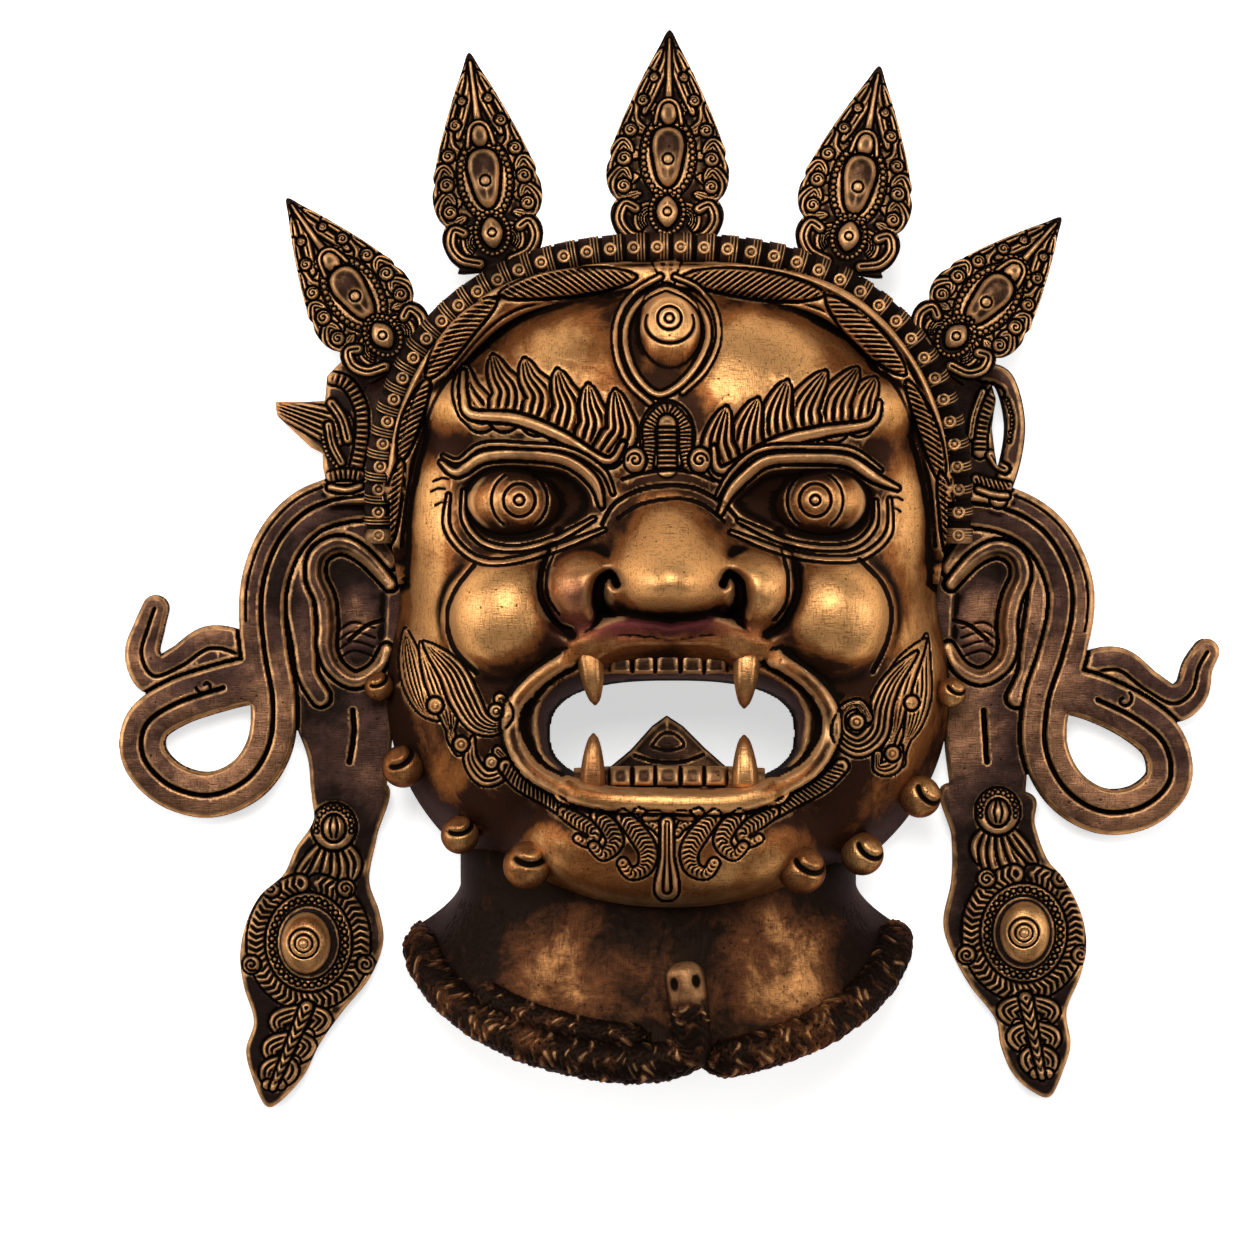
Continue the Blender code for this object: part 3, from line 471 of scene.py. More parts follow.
for side in (-1, 1):
    comma = curve([(16.0 * side, -12.0), (17.4 * side, -7.6), (17.0 * side, -3.4), (14.6 * side, -1.6), (13.0 * side, -3.6)])
    win, D, S, _, length = face.near(comma, 5.0)
    form[win] -= 9.0 * np.exp(-(D / (2.3 - 1.2 * S / length)) ** 2)
    crease = curve([(27 * side, 9), (30.5 * side, 3), (31.5 * side, -5), (28 * side, -13), (24 * side, -16)])
    win, D, _, _, _ = face.near(crease, 4.0)
    form[win] -= 2.6 * np.exp(-(D / 1.3) ** 2)
face.base = form


def tube(relief, path, radius, soft=1.5):
    """Melts a round bar into the base. The path carries its own heights."""
    path = curve(path)
    flat = path[:, :2]
    win, D, S, _, length = relief.near(flat, radius * 1.3)
    runs = np.r_[0, np.cumsum(np.hypot(*np.diff(flat, axis=0).T))]
    z = np.interp(S, runs, path[:, 2])
    ends = rise(np.minimum(S, length - S) / (radius * 2) + 0.3)
    bar = z + radius * ends * (np.sqrt(np.clip(1 - (D / radius) ** 2, 0, 1)) - np.clip(D / radius - 1, 0, 1) * 6)
    near = D < radius * 1.3
    relief.base[win][near] = smooth_max(relief.base[win], bar, soft)[near]


# %% The mouth's funnel and the head's outline
LIP_CENTRE, LIP_HALF = (0.0, -38.5), (39.5, 20.0)
THROAT_CENTRE, THROAT_HALF = (0.8, -40.5), (30.5, 13.0)
THROAT_Z, LIP_Z = 38.0, 62.0


def rounded_box(field_x, field_y, centre, half, power=2.6):
    """0 at the centre and 1 on the outline."""
    return (np.abs((field_x - centre[0]) / half[0]) ** power
            + np.abs((field_y - centre[1]) / half[1]) ** power) ** (1 / power)


lip = rounded_box(face.X, face.Y, LIP_CENTRE, LIP_HALF)
throat = rounded_box(face.X, face.Y, THROAT_CENTRE, THROAT_HALF)
share = np.clip((throat - 1) / np.maximum((throat - 1) + (1 - lip), 1e-6), 0, 1)
funnel = THROAT_Z + (LIP_Z - THROAT_Z) * share ** 0.8
funnel = np.where(throat < 1, THROAT_Z - 6 * (1 - throat), funnel)
face.base = np.where(lip < 1, np.minimum(face.base, funnel), face.base)
face.base = np.where(np.abs(lip - 1) < 0.06, blur(face.base, 2.5), face.base)


outline = np.stack([soft * np.cos(angles), soft * np.sin(angles)], 1)[::3]
win, sd_head = face.signed(outline, 14.0)
face.sd[win] = sd_head
bed = arch(1.9, 176.0, 4.0, 12.5, 27.5, 90)
win, D, _, _, _ = face.near(bed[:, :2], 8.0)
face.sd[win] = np.minimum(face.sd[win], D - 3.3)
tube(face, bed, 3.8, 1.5)
head_sd = face.sd.copy()
throat_sd = (throat - 1) * min(THROAT_HALF)
face.sd = np.maximum(face.sd, -throat_sd)
print("plain face, highest point", round(float(face.base.max()), 1), "mm")

# %% The lips
for path, radius in (
    ([(-22, -19.6, 57), (-13.6, -14.2, 60.5), (-5, -14.2, 62.2), (0, -15.2, 62.5), (5, -14.4, 62.2),
      (12, -14.0, 60.5), (22, -19.6, 57)], 2.3),
    ([(-25, -54.0, 57.0), (-14.8, -56.4, 59.2), (0, -57.0, 60), (14.6, -57.0, 59.2), (26, -54.2, 57.0)], 2.7),
    ([(-10, -57.0, 58.6), (-20, -55.6, 57.6), (-29, -52.3, 55.8), (-35, -48, 54.0), (-38.4, -41, 53.0), (-38.0, -34, 53.5), (-33, -27.5, 55), (-25, -22, 57)], 1.9),
    ([(10, -57.4, 58.6), (20, -56.0, 57.6), (29.4, -52.3, 55.8), (35.6, -48, 54.0), (39.4, -41, 53.0), (38.8, -34, 53.5), (34, -27.5, 55), (26, -22, 57)], 1.9),
):
    tube(face, path, radius, 1.8)

# %% [markdown]
# ## Carving the face
# Each ornament is a short list of strokes, laid in the order in which they overlap. The strokes keep the drawing's
# left and right apart, because a hand-carved face is never quite the same on both sides.

# %% Hair leaves under the crown band
def taper(wide, narrow=0.15, power=0.6):
    """A leaf's half-width: nothing at both ends and full in the middle."""
    return lambda t: narrow + (wide - narrow) * np.clip(np.sin(np.pi * t), 0, 1) ** power


HAIR_LEAVES = (
    ([(-41.6, 68.2), (-26.9, 71.0), (-8.5, 72.4)], 3.3, 1),
    ([(4.1, 72.4), (18.3, 71.0), (37.9, 68.2)], 3.3, -1),
    ([(-42.9, 67.0), (-51.5, 59.8), (-59.8, 47.8)], 3.1, 1),
    ([(-59.8, 46.9), (-63.9, 37.5), (-66.9, 27.3)], 2.2, 1),
    ([(-66.6, 27.0), (-68.8, 17.0), (-69.6, 7.0)], 1.7, 1),
    ([(39.2, 67.3), (48.5, 58.4), (58.3, 48.7)], 3.1, -1),
    ([(59.2, 46.5), (64.3, 35.4), (68.3, 22)], 2.2, -1),
    ([(67.8, 24.0), (69.6, 14.0), (69.8, 4.3)], 1.7, -1),
)
hair_bar = [(-68.3, 2), (-67.6, 16), (-64.6, 33), (-58.5, 48), (-50, 59), (-38, 67.2), (-20, 71.2), (0, 72.2)]
hair_bar = [(x, y, 17 + 17 * rise((y + 2) / 74)) for x, y in hair_bar]
hair_bar += [(-x, y, z) for x, y, z in hair_bar[-2::-1]]
tube(face, hair_bar, 4.4, 2.0)
for path, half, lean in HAIR_LEAVES:
    face.stroke(path, taper(half), 1.9, moat=0.9, deep=1.5, ribs=1.75, slant=1.1 * lean, rib_cut=1.1, crown=0.25)
for side in (-1, 1):
    hair_edge = [(0.5, 69.5), (10, 69), (22, 67.6), (37, 64.6), (47, 57.5), (56, 45.5), (61.8, 33), (65.2, 20), (66.6, 6)]
    face.groove([(x * side, y) for x, y in hair_edge], 0.7, 0.8)
face.stroke([(-0.5, 76), (-0.3, 73), (0.3, 70)], lambda t: 3.4 - 2.6 * t, 1.2, lines=3, crown=0.3)

face.groove(arch(4.1, 178.0, 2.0, 0.0, 0.0, 90)[:, :2], 1.0, 1.6, smooth=False)

# %% Brows: six flames a side over a double ridge
LEFT_FLAMES = (
    [(-46.2, 37.6), (-50.0, 44.0), (-50.9, 50.8)],
    [(-40.5, 37.6), (-39.6, 43.5), (-42.0, 48.0), (-43.7, 53.0)],
    [(-32.5, 36.6), (-31.3, 42.3), (-34.2, 47.0), (-35.7, 51.8)],
    [(-25.8, 33.6), (-24.6, 39.6), (-26.3, 44.2), (-27.5, 48.8)],
    [(-19.6, 30.0), (-18.2, 35.4), (-19.4, 40.2), (-19.9, 45.0)],
    [(-15.0, 28.6), (-11.8, 33.2), (-12.4, 38.4), (-13.3, 43.6)],
)
RIGHT_FLAMES = (
    [(46.5, 36.6), (47.6, 42.0), (51.0, 47.4)],
    [(40.2, 35.0), (40.8, 41.6), (46.7, 49.8)],
    [(33.0, 33.4), (32.8, 39.8), (38.5, 48.6)],
    [(26.6, 31.6), (26.2, 38.0), (28.9, 46.0)],
    [(18.2, 28.0), (19.0, 34.5), (21.6, 41.5)],
    [(13.4, 25.2), (11.8, 31.0), (13.9, 39.4)],
)


def flame(t):
    return 0.2 + 4.6 * np.clip(1 - t, 0, 1) ** 0.55 * (0.75 + 0.25 * np.clip(t * 5, 0, 1))


for flames in (LEFT_FLAMES, RIGHT_FLAMES):
    for path in flames:
        face.stroke(path, flame, 2.1, moat=0.8, deep=1.3, lines=4, line_cut=0.85, crown=0.2)
BROW_RIDGES = (
    [(-51.0, 49.0), (-50.6, 42.5), (-48.6, 38.0), (-37.6, 36.8), (-26.9, 32.6), (-15.4, 26.3), (-11.4, 30.5)],
    [(10.8, 29.5), (12.9, 24.0), (26.4, 30.8), (37.9, 33.7), (49.4, 35.9), (51.6, 41.0)],
)
for path in BROW_RIDGES:
    face.stroke(path, lambda t: 0.5 + 0.8 * np.sin(np.pi * t), 1.6, moat=0.8, deep=1.0, crown=0.4)

# %% Eyes
EYE_OPENINGS = {
    -1: [(-52.5, 20), (-45.5, 25.6), (-36, 26.2), (-25, 24.6), (-18.8, 18.5), (-20.0, 12.5), (-28, 7.6), (-37.6, 5.6),
         (-46.2, 7.2), (-51.2, 13.0)],
    1: [(14.6, 17.0), (19.2, 21.8), (24.5, 24.8), (35.2, 25.4), (44.1, 24.6), (51.0, 20.0), (51.6, 13.0), (44.5, 6.4),
        (31, 6.8), (18.5, 12.0)],
}
EYES = {-1: (-36.9, 16.8), 1: (35.9, 16.8)}
for side, opening in EYE_OPENINGS.items():
    win, sd = face.signed(curve(opening, closed=True), 6.0)
    x, y = EYES[side]
    floor = float(face.at(face.base, np.array([x]), np.array([y]))[0])
    well = face.base[win] - 1.7 * rise(-sd / 2.5)
    ball = cap(face, (x, y, floor - 3.0), (12.6, 9.6, 8.6))[win]
    inner = sd < 0
    face.base[win][inner] = np.maximum(well, ball)[inner]
    for radius, width, deep in ((6.9, 0.42, 0.7), (3.9, 0.45, 0.9), (1.25, 0.36, 0.7)):
        ring = oval(x, y + 0.2, radius, radius * 1.04)
        if radius > 6:
            ring = ring[(np.abs(ring[:, 0] - x) > 3.4)]
            for part in (ring[ring[:, 0] < x], ring[ring[:, 0] > x]):
                face.groove(part[np.argsort(part[:, 1])], width, deep, smooth=False)
        else:
            face.groove(ring, width, deep, smooth=False)
    face.dome(x, y + 0.2, 2.9, 2.9, 0.8, moat=0, level=0.0, rings=((0.42, 0.4, 0.8),))

LIDS = (
    ([(-56.4, 26.6), (-52.4, 24.0), (-45.6, 27.6), (-35, 28.0), (-25.1, 26.4), (-18.6, 21.4), (-16.6, 15.4)], 1.25, 2.2),
    ([(12.4, 13.6), (14.8, 18.6), (18.9, 23.0), (24.5, 26.6), (35.2, 27.2), (44.1, 26.6), (51.0, 22.6), (56.6, 20.2)], 1.25, 2.2),
    ([(-56.0, 28.2), (-52.0, 26.8), (-46, 30.4), (-35, 30.2), (-24.5, 29.0), (-16.5, 24.2), (-13.8, 18.5)], 0.45, 0.5),
    ([(11.5, 17.5), (15.5, 24.0), (22.5, 29.2), (35, 29.9), (45, 29.2), (52.5, 24.6)], 0.45, 0.5),
    ([(-50.8, 19.5), (-50.4, 12.2), (-45.9, 6.6), (-37.6, 5.0), (-28.0, 7.4), (-18.5, 12.4)], 0.55, 0.9),
    ([(17.0, 11.8), (30.8, 6.2), (44.1, 5.6), (50.4, 10.4), (51.2, 17.0)], 0.55, 0.9),
    ([(-54.6, 18.5), (-55.0, 10.6), (-50.5, 4.4), (-44.5, 1.8), (-37.0, 2.4), (-27.5, 5.2), (-16.0, 9.6)], 0.55, 0.7),
    ([(15.0, 9.0), (29.6, 3.8), (41.0, 2.4), (48.5, 3.6), (54.4, 9.2), (54.6, 17.5)], 0.55, 0.7),
)
for path, half, height in LIDS:
    face.stroke(path, lambda t, h=half: h * (0.35 + 0.65 * np.clip(np.sin(np.pi * t) * 2.2, 0, 1)), height,
                moat=0.75, deep=0.9, crown=0.4)
for x, y, run in ((-54.5, 22.5, -4), (-55.5, 20.0, -3.5), (-55.0, 16.5, -3), (55.0, 17.8, 3), (54.8, 15.0, 2.6)):
    face.groove([(x, y), (x + run * 0.5, y + 0.2), (x + run, y - 0.6)], 0.35, 0.5)

# %% The third eye in its drop-shaped frame
DROP = [(-0.8, 69.8), (-6.2, 67.2), (-9.9, 62.0), (-10.8, 55.5), (-8.4, 47.8), (-3.4, 42.8), (1.6, 44.4), (6.4, 49.6),
        (9.4, 56.6), (8.6, 62.6), (5.0, 67.0)]
win, sd = face.signed(curve(DROP, closed=True), 6.0)
face.base[win] -= 1.6 * rise(-sd / 1.8)
floor = float(face.at(face.base, np.array([0.6]), np.array([55.0]))[0])
egg = cap(face, (0.2, 56.0, floor - 2.4), (7.8, 11.6, 6.8))[win]
face.base[win][sd < 0] = np.maximum(face.base[win], egg)[sd < 0]
face.stroke(DROP + DROP[:1], 0.75, 1.5, moat=0.7, deep=0.9, crown=0.4)
face.stroke([(-2.2, 72.4), (-9.6, 67.6), (-13.0, 60.5), (-12.9, 52.5), (-10.0, 45.6), (-4.6, 40.4)], 0.6, 1.0,
            moat=0.6, deep=0.7, crown=0.4)
face.stroke([(1.4, 72.4), (7.2, 69.6), (11.2, 64.0), (11.9, 56.0), (8.6, 48.6), (3.2, 43.2)], 0.5, 0.8,
            moat=0.6, deep=0.7, crown=0.4)
face.groove(oval(0.1, 60.6, 6.0, 5.2, 0, 160, 220), 0.5, 1.0, smooth=False)
for radius, width, deep in ((2.9, 0.42, 0.9), (1.1, 0.36, 0.8)):
    face.groove(oval(0.0, 61.6, radius, radius), width, deep, smooth=False)

# %% The snake hood over the root of the nose
hood = [(-5.6, 25.0), (-4.9, 30.0), (-4.8, 35.0), (-0.7, 39.0), (3.6, 35.0), (3.9, 30.0), (4.9, 25.0)]
face.dome(-0.6, 32.5, 6.4, 8.2, 1.6, power=0.35, moat=0.8, deep=1.0)
face.stroke(hood, 1.45, 2.6, moat=0.4, deep=0.4, ribs=0.95, rib_cut=0.7, crown=0.35)
face.stroke([(-0.6, 24.6), (-0.6, 30.0), (-0.6, 35.4)], 2.3, 2.5, moat=0.4, deep=0.2, ribs=1.25, rib_cut=0.75, crown=0.35)
for cx, turn in ((-8.4, 0.9), (7.4, -0.9)):
    face.dome(cx, 26.6, 2.6, 3.0, 1.7, moat=0.6, deep=0.9)
    face.groove(spiral(cx, 26.6, 0.4, 1.9, 90, turn * 1.4), 0.35, 0.9, smooth=False)

# %% Creases of the nose, cheeks and chin
for path, width, deep in (
    ([(-16.5, 11.0), (-13.5, 16.0), (-7, 19.4), (0.6, 20.4), (7, 19.4), (13.8, 15.4), (18, 10.6)], 0.65, 1.0),
    ([(-12.6, 12.4), (-7, 15.8), (1.5, 17.2), (8, 15.8), (13.4, 11.6)], 0.55, 0.8),
    ([(-11.5, 22.0), (-6, 23.6), (0.2, 24.3), (6, 23.6), (10.8, 21.6)], 0.6, 0.9),
    ([(-29.5, 4.5), (-31.6, -1.5), (-31.4, -7.5), (-28.0, -13.0), (-24.2, -14.8)], 0.7, 1.3),
    ([(-27.6, 5.5), (-29.9, -0.5), (-29.8, -6.5), (-27.0, -11.2)], 0.45, 0.8),
    ([(27.5, 5.0), (29.0, -2.0), (28.4, -8.5), (25.6, -12.4)], 0.6, 1.0),
    ([(-48.0, 1.0), (-52.6, -5.0), (-54.8, -11.7), (-53.0, -19.5), (-47.5, -25.5)], 0.8, 1.5),
    ([(46.8, 2.4), (52.6, -3.6), (54.8, -10.4), (53.6, -18.0), (50.2, -25.2)], 0.8, 1.5),
    ([(-30, -80.5), (-15, -83.6), (0, -84.4), (15, -83.8), (29, -81.2)], 0.7, 0.6),
):
    face.groove(path, width, deep)

# %% Whiskers: bundles of hair that end in scrolls, and a corded band along the jaw
def lock(wide, end):
    """A lock's half-width: pointed at the tip, widest in the middle, then slim to its end."""
    return lambda t: 0.2 + (wide - 0.2) * np.clip(np.sin(np.pi * np.clip(t * 1.25, 0, 1)), 0, 1) ** 0.8 + end * t


LOCKS = (
    ([(-65.9, -14.8), (-64.6, -22), (-62.8, -29), (-60.3, -35.2), (-57.0, -36.6), (-55.6, -33.8)], 3.0, 0.5, 6),
    ([(-61.6, -18.2), (-57.2, -27.6), (-54.6, -35.4), (-53.8, -41.5), (-52.0, -44.8)], 2.8, 0.8, 5),
    ([(-60.8, -18), (-54.0, -24.9), (-50.6, -31.8), (-47.2, -37.4), (-42.6, -38.9), (-39.7, -35.6), (-41.6, -31.9)],
     3.2, 1.1, 5),
    ([(-48.4, -41.5), (-49.0, -47.0), (-45.8, -51.4), (-41.6, -50.6), (-40.2, -47.4), (-42.2, -44.8)], 1.6, 0.9, 3),
    ([(64.3, -16.2), (62.6, -24.0), (62.2, -31.0), (60.8, -38.0), (58.0, -44.5), (57.6, -48.0)], 2.8, 0.8, 5),
    ([(63.9, -17.4), (58.2, -25.2), (55.8, -33.0), (55.2, -41.0), (53.0, -46.8)], 3.0, 0.9, 5),
    ([(61.5, -20.5), (55.4, -27.2), (52.4, -33.6), (51.0, -40.6), (46.4, -43.6), (41.9, -40.4), (42.6, -35.0), (46.6, -33.2),
      (49.0, -36.6)], 2.6, 0.9, 4),
    ([(57.6, -44.0), (55.6, -48.6), (51.8, -49.0), (51.6, -45.8)], 1.5, 0.7, 3),
)
for path, wide, end, lines in LOCKS:
    face.stroke(path, lock(wide, end), 1.7, moat=0.6, deep=1.0, lines=lines, line_cut=0.6, crown=0.22)
for cx, cy, radius in ((-57.9, -33.6, 1.9), (-51.4, -43.2, 1.8), (-42.6, -34.9, 1.7), (-43.8, -47.6, 1.6),
                       (60.2, -33.0, 1.7), (46.2, -37.6, 1.9), (55.4, -45.6, 1.8)):
    face.dome(cx, cy, radius, radius, 2.0, moat=0.6, deep=0.9, rings=((0.45, 0.4, 0.5),))
for cord in ([(-40.2, -48.6), (-36.5, -52.8), (-29.6, -56.6), (-24.6, -59.6)], [(42.4, -48.6), (37.6, -53.2), (28.5, -57.8), (22.0, -61.0)]):
    face.stroke(cord, 1.7, 1.6, moat=0.7, deep=0.9, ribs=1.15, slant=0.5, rib_cut=0.7, crown=0.35)

# %% The beard's palmette under the lip
for side, shift in ((-1, 0.0), (1, -0.5)):
    for path, wide in (
        ([(26.0, -59.6), (22.0, -62.0), (18.4, -64.4), (19.6, -67.0), (22.4, -66.0)], 1.7),
        ([(17.6, -60.4), (14.6, -63.4), (13.4, -67.0), (16.2, -69.9), (18.6, -67.8)], 2.0),
        ([(11.4, -60.6), (8.0, -64.4), (5.4, -68.8), (6.0, -73.0), (9.4, -74.6), (11.4, -72.0)], 2.2),
        ([(7.6, -59.6), (4.6, -61.6), (2.2, -64.6)], 1.4),
    ):
        path = [(x * side + shift, y) for x, y in path]
        face.stroke(path, lambda t, w=wide: w * (0.55 + 0.45 * np.sin(np.pi * np.clip(t + 0.15, 0, 1))), 1.7, moat=0.55,
                    deep=1.0, ribs=1.15, chevron=-0.5, rib_cut=0.65, crown=0.35)
    face.dome(3.9 * side - 0.3, -60.4, 2.6, 1.3, 1.4, turn_deg=-12 * side, rings=((0.0, 0.4, 0.4),))
face.stroke([(-0.6, -62.0), (-0.6, -68.0), (-0.6, -74.0), (-0.6, -78.6)], lambda t: 1.5 + 1.3 * rise((t - 0.45) * 2),
            2.1, moat=0.6, deep=1.0, lines=3, line_cut=0.5, crown=0.3)
hammered(face, 1.4, 0.04)
hammered(face, 4.0, 0.17, seed=2)
print("face carved:", face.cut.shape, "cells")

# %% [markdown]
# ## The back of the face
# A cast shell has one wall thickness all over. The inner surface is the outer one with a ball of that radius rolled
# under it: at every point the lowest height that the ball allows.

# %% The inner surface, and the face's own body
WALL = 3.2


def rolled_under(field, cell, radius):
    """Grey erosion by a ball, on a coarse grid."""
    skip = 4
    coarse = field[::skip, ::skip]
    cell = cell * skip
    reach = int(radius / cell)
    low = coarse - radius
    pad = np.pad(coarse, reach, constant_values=-5.0)
    for i in range(-reach, reach + 1):
        for j in range(-reach, reach + 1):
            far = math.hypot(i, j) * cell
            if 0 < far < radius:
                part = pad[reach + i:reach + i + coarse.shape[0], reach + j:reach + j + coarse.shape[1]]
                low = np.minimum(low, part - math.sqrt(radius ** 2 - far ** 2))
    low = np.repeat(np.repeat(low, skip, 0), skip, 1)[:field.shape[0], :field.shape[1]]
    return blur(low, skip * 0.8)


PIECES = []
# the jaw ends inside the neck, so that the neck stays open to the hollow
neck_top = 40.0 * np.sqrt(np.clip(1 - ((face.X + 2.5) / 50) ** 2, 0, 1))
hidden = np.where(face.Y < -58, neck_top - 5.0 - face.base, -9.0)
face.sd = np.maximum(face.sd, np.clip(hidden * 0.35, -9, 9))
outside = head_sd > 0
smooth_form = np.where(outside, 0.0, np.maximum(blur(face.base, 4.0), 0.0))
inner = np.maximum(rolled_under(smooth_form, face.cell, WALL), 0.0)
inner = np.where(head_sd > -WALL, 0.0, inner)


def below(relief, field):
    return lambda x, y: relief.at(field, x, y)


def region(outlines):
    """Signed distance to several closed outlines together."""
    sd = np.full(face.X.shape, 9.0)
    for outline in outlines:
        win, part = face.signed(curve(outline, closed=True), 9.0)
        sd[win] = np.minimum(sd[win], part)
    return sd


FINE_PARTS = {
    "hair": [[(-70.5, 0), (-70.4, 20), (-67, 40), (-59, 55), (-47, 68), (-30, 75.6), (-12, 77.6), (-7.4, 72), (-14, 67.4),
              (-34, 64), (-46, 56), (-55, 45), (-61, 32), (-64.6, 18), (-65.6, 2)],
             [(70.5, 0), (70.4, 20), (67, 40), (59, 55), (47, 68), (30, 75.6), (12, 77.6), (6.6, 72), (14, 67.4),
              (34, 64), (46, 56), (55, 45), (61, 32), (64.6, 18), (65.6, 2)]],
    "eye_left": [[(-55, 54), (-42, 56), (-28, 53), (-14, 48), (-9.6, 40), (-9.6, 26), (-10.5, 12), (-20, 5), (-36, -1),
                  (-50, -1), (-60, 8), (-62, 22), (-60, 34), (-57, 44)]],
    "eye_right": [[(55, 52), (47, 53), (36, 51.5), (24, 46), (14, 43.5), (9.2, 36), (9.2, 20), (11, 10), (20, 4), (34, 0),
                   (46, -1), (57, 6), (60.5, 20), (58, 34), (56, 44)]],
    "third_eye": [[(0, 77), (-7, 73), (-14.5, 65), (-15, 52), (-9.4, 43), (-9.4, 32), (-12.6, 25), (-8, 21.5), (0, 20.5),
                   (8, 21), (11.6, 25), (9.0, 33), (9, 43), (13.5, 54), (13, 65), (6.5, 73)]],
    "beard": [[(-29, -57.5), (-26, -64), (-19, -72.5), (-10, -79), (-1, -81.8), (8, -79), (17, -73), (24, -67), (28, -59),
               (14, -60.6), (0, -61.2), (-14, -60.6)]],
    "whisker_left": [[(-68.5, -12), (-62.6, -15), (-52, -23), (-44, -28), (-37.2, -33.5), (-40.8, -40.5), (-39.5, -46.5),
                      (-36.0, -51.0), (-28, -55.4), (-24.0, -58), (-29, -60.5), (-38, -56.5), (-47, -53.6), (-54, -48),
                      (-61.5, -38), (-67, -26)]],
    "whisker_right": [[(67, -13.5), (61, -17), (52, -24), (44, -29.5), (39.8, -35), (41.8, -43), (40.5, -48), (37, -51.4),
                       (28, -56.4), (22.5, -59.6), (28, -61.5), (38, -57.6), (47, -53.6), (57, -50.6), (63.5, -44), (66, -28)]],
}
covered = np.full(face.X.shape, 9.0)
for name, outlines in FINE_PARTS.items():
    covered = np.minimum(covered, region(outlines))
plain = face.top() - 1.6 * rise((-covered - 1.3) / 1.2)


# %% Mesh the face and its finely carved parts
FACE_WEAR_AND_PAINTED_LIGHT = rub(face, valley=0.2, least=0.10)
# painted highlights and painted shade, together with rubbed polish and dark patina: (x, y, half width, half height, how
# much brighter or darker)
PAINTED_LIGHT_AND_POLISH = (
    (-34, 57, 20, 9, 0.50), (31, 55, 24, 11, 0.60), (14, 46, 8, 8, 0.40), (-57, 38, 7, 12, 0.50), (57, 38, 8, 14, 0.50),
    (-14, 60, 7, 12, -0.45), (0, 3, 14, 11, 0.75), (0, 15, 8, 5, 0.30), (19, 0, 8, 6, 0.35), (-41, -9, 12, 11, 0.75),
    (42, -13, 11, 11, 0.60), (-61, -2, 6, 20, 0.95), (-60, 16, 5, 12, 0.5), (64, -4, 6, 22, 0.75), (60, 16, 5, 12, 0.4),
    (-28, -71, 13, 7, 0.45), (22, -75, 14, 6, 0.40), (-52, -50, 6, 5, 0.30), (50, -58, 7, 6, 0.25), (0, -56.8, 27, 2.6, 0.95),
    (0, 38, 10, 9, -0.50), (-37, 30, 20, 5, -0.45), (37, 30, 20, 5, -0.45), (-52, 30, 7, 10, -0.35), (0, -27, 34, 10, -0.60),
    (-22, -8, 5, 5, -0.15), (-40, -22, 13, 4, -0.5), (42, -24, 12, 4, -0.5), (0, -14, 14, 3, -0.25), (0, 22, 14, 4, -0.3),
    (-28, 2, 3, 8, -0.4), (28, 2, 3, 8, -0.4), (-46, -58, 10, 6, -0.35), (48, -60, 9, 9, -0.3), (36, 15, 20, 11, -0.25),
    (-36, 15, 20, 11, -0.25), (-36, 17, 9, 7, 0.6), (36, 17, 9, 7, 0.6), (-36, 44, 13, 7, 0.35), (-19, 37, 8, 8, 0.25),
    (36, 43, 13, 7, 0.35), (18, 35, 8, 8, 0.2), (-38, -40, 5, 14, -0.45), (38, -40, 5, 14, -0.45), (0, -68, 18, 9, 0.2),
    (-60, -26, 6, 12, 0.35), (62, -30, 6, 12, 0.3), (-64, 24, 5, 16, 0.35), (65, 24, 5, 16, 0.35),
)
WINE = ((-22.5, -6.5, 6.5, 6, 0.9), (-14, -14.5, 9, 3, 0.8), (8, -14, 12, 3, 0.5))


def painted(x, y, spots):
    return sum(amount * np.exp(-(((x - cx) / rx) ** 2 + ((y - cy) / ry) ** 2)) for cx, cy, rx, ry, amount in spots)


# painted shade: the face is made darker below the mouth and near the outline of the upper head, and the table above
# adds painted highlights and painted shade along with polish and patina
lower = 0.55 * rise((-22 - face.Y) / 16) + 0.7 * rise((head_sd + 7.5) / 2.5) * rise((face.Y + 4) / 8)
FACE_WEAR_AND_PAINTED_LIGHT["polish_and_painted_light"] = np.clip(FACE_WEAR_AND_PAINTED_LIGHT["polish_and_painted_light"] - lower + painted(face.X, face.Y, PAINTED_LIGHT_AND_POLISH), 0, 1.2)
FACE_WEAR_AND_PAINTED_LIGHT["wine"] = np.clip(painted(face.X, face.Y, WINE), 0, 1)


def face_with(field, name, step, budget, sd, low, **extra):
    """Casts the face from another height field than its own, with the face's own wear, painted highlights and painted
    shade.
    """
    kept = face.base
    face.base = field - face.cut
    made = cast(name, face, step, low, budget, sd=sd, wear_and_light=FACE_WEAR_AND_PAINTED_LIGHT, **extra)
    face.base = kept
    return made


PIECES.append((face_with(plain, "face", 0.45, 120000, face.sd, below(face, inner), squeeze=4.0), "face"))
for name, outlines in FINE_PARTS.items():
    sd = np.maximum(region(outlines), face.sd + 0.8)
    skin = face.top() + 0.02
    lower = below(face, blur(face.top(), 6.0) - 3.2)
    piece = face_with(skin, name, 0.27, 38000, sd, lower, sink=lambda x, y, depth: 0.13 * np.clip(1 - depth / 1.5, 0, 1) ** 2)
    PIECES.append((piece, "face"))

# %% [markdown]
# ## Teeth, fangs, tongue and warts
# Small round forms are lofted: a closed loft is a stack of rings, each with its own centre and radii, closed at both
# ends. A little flattening of the rings gives the faceted look of fangs that were filed after casting.

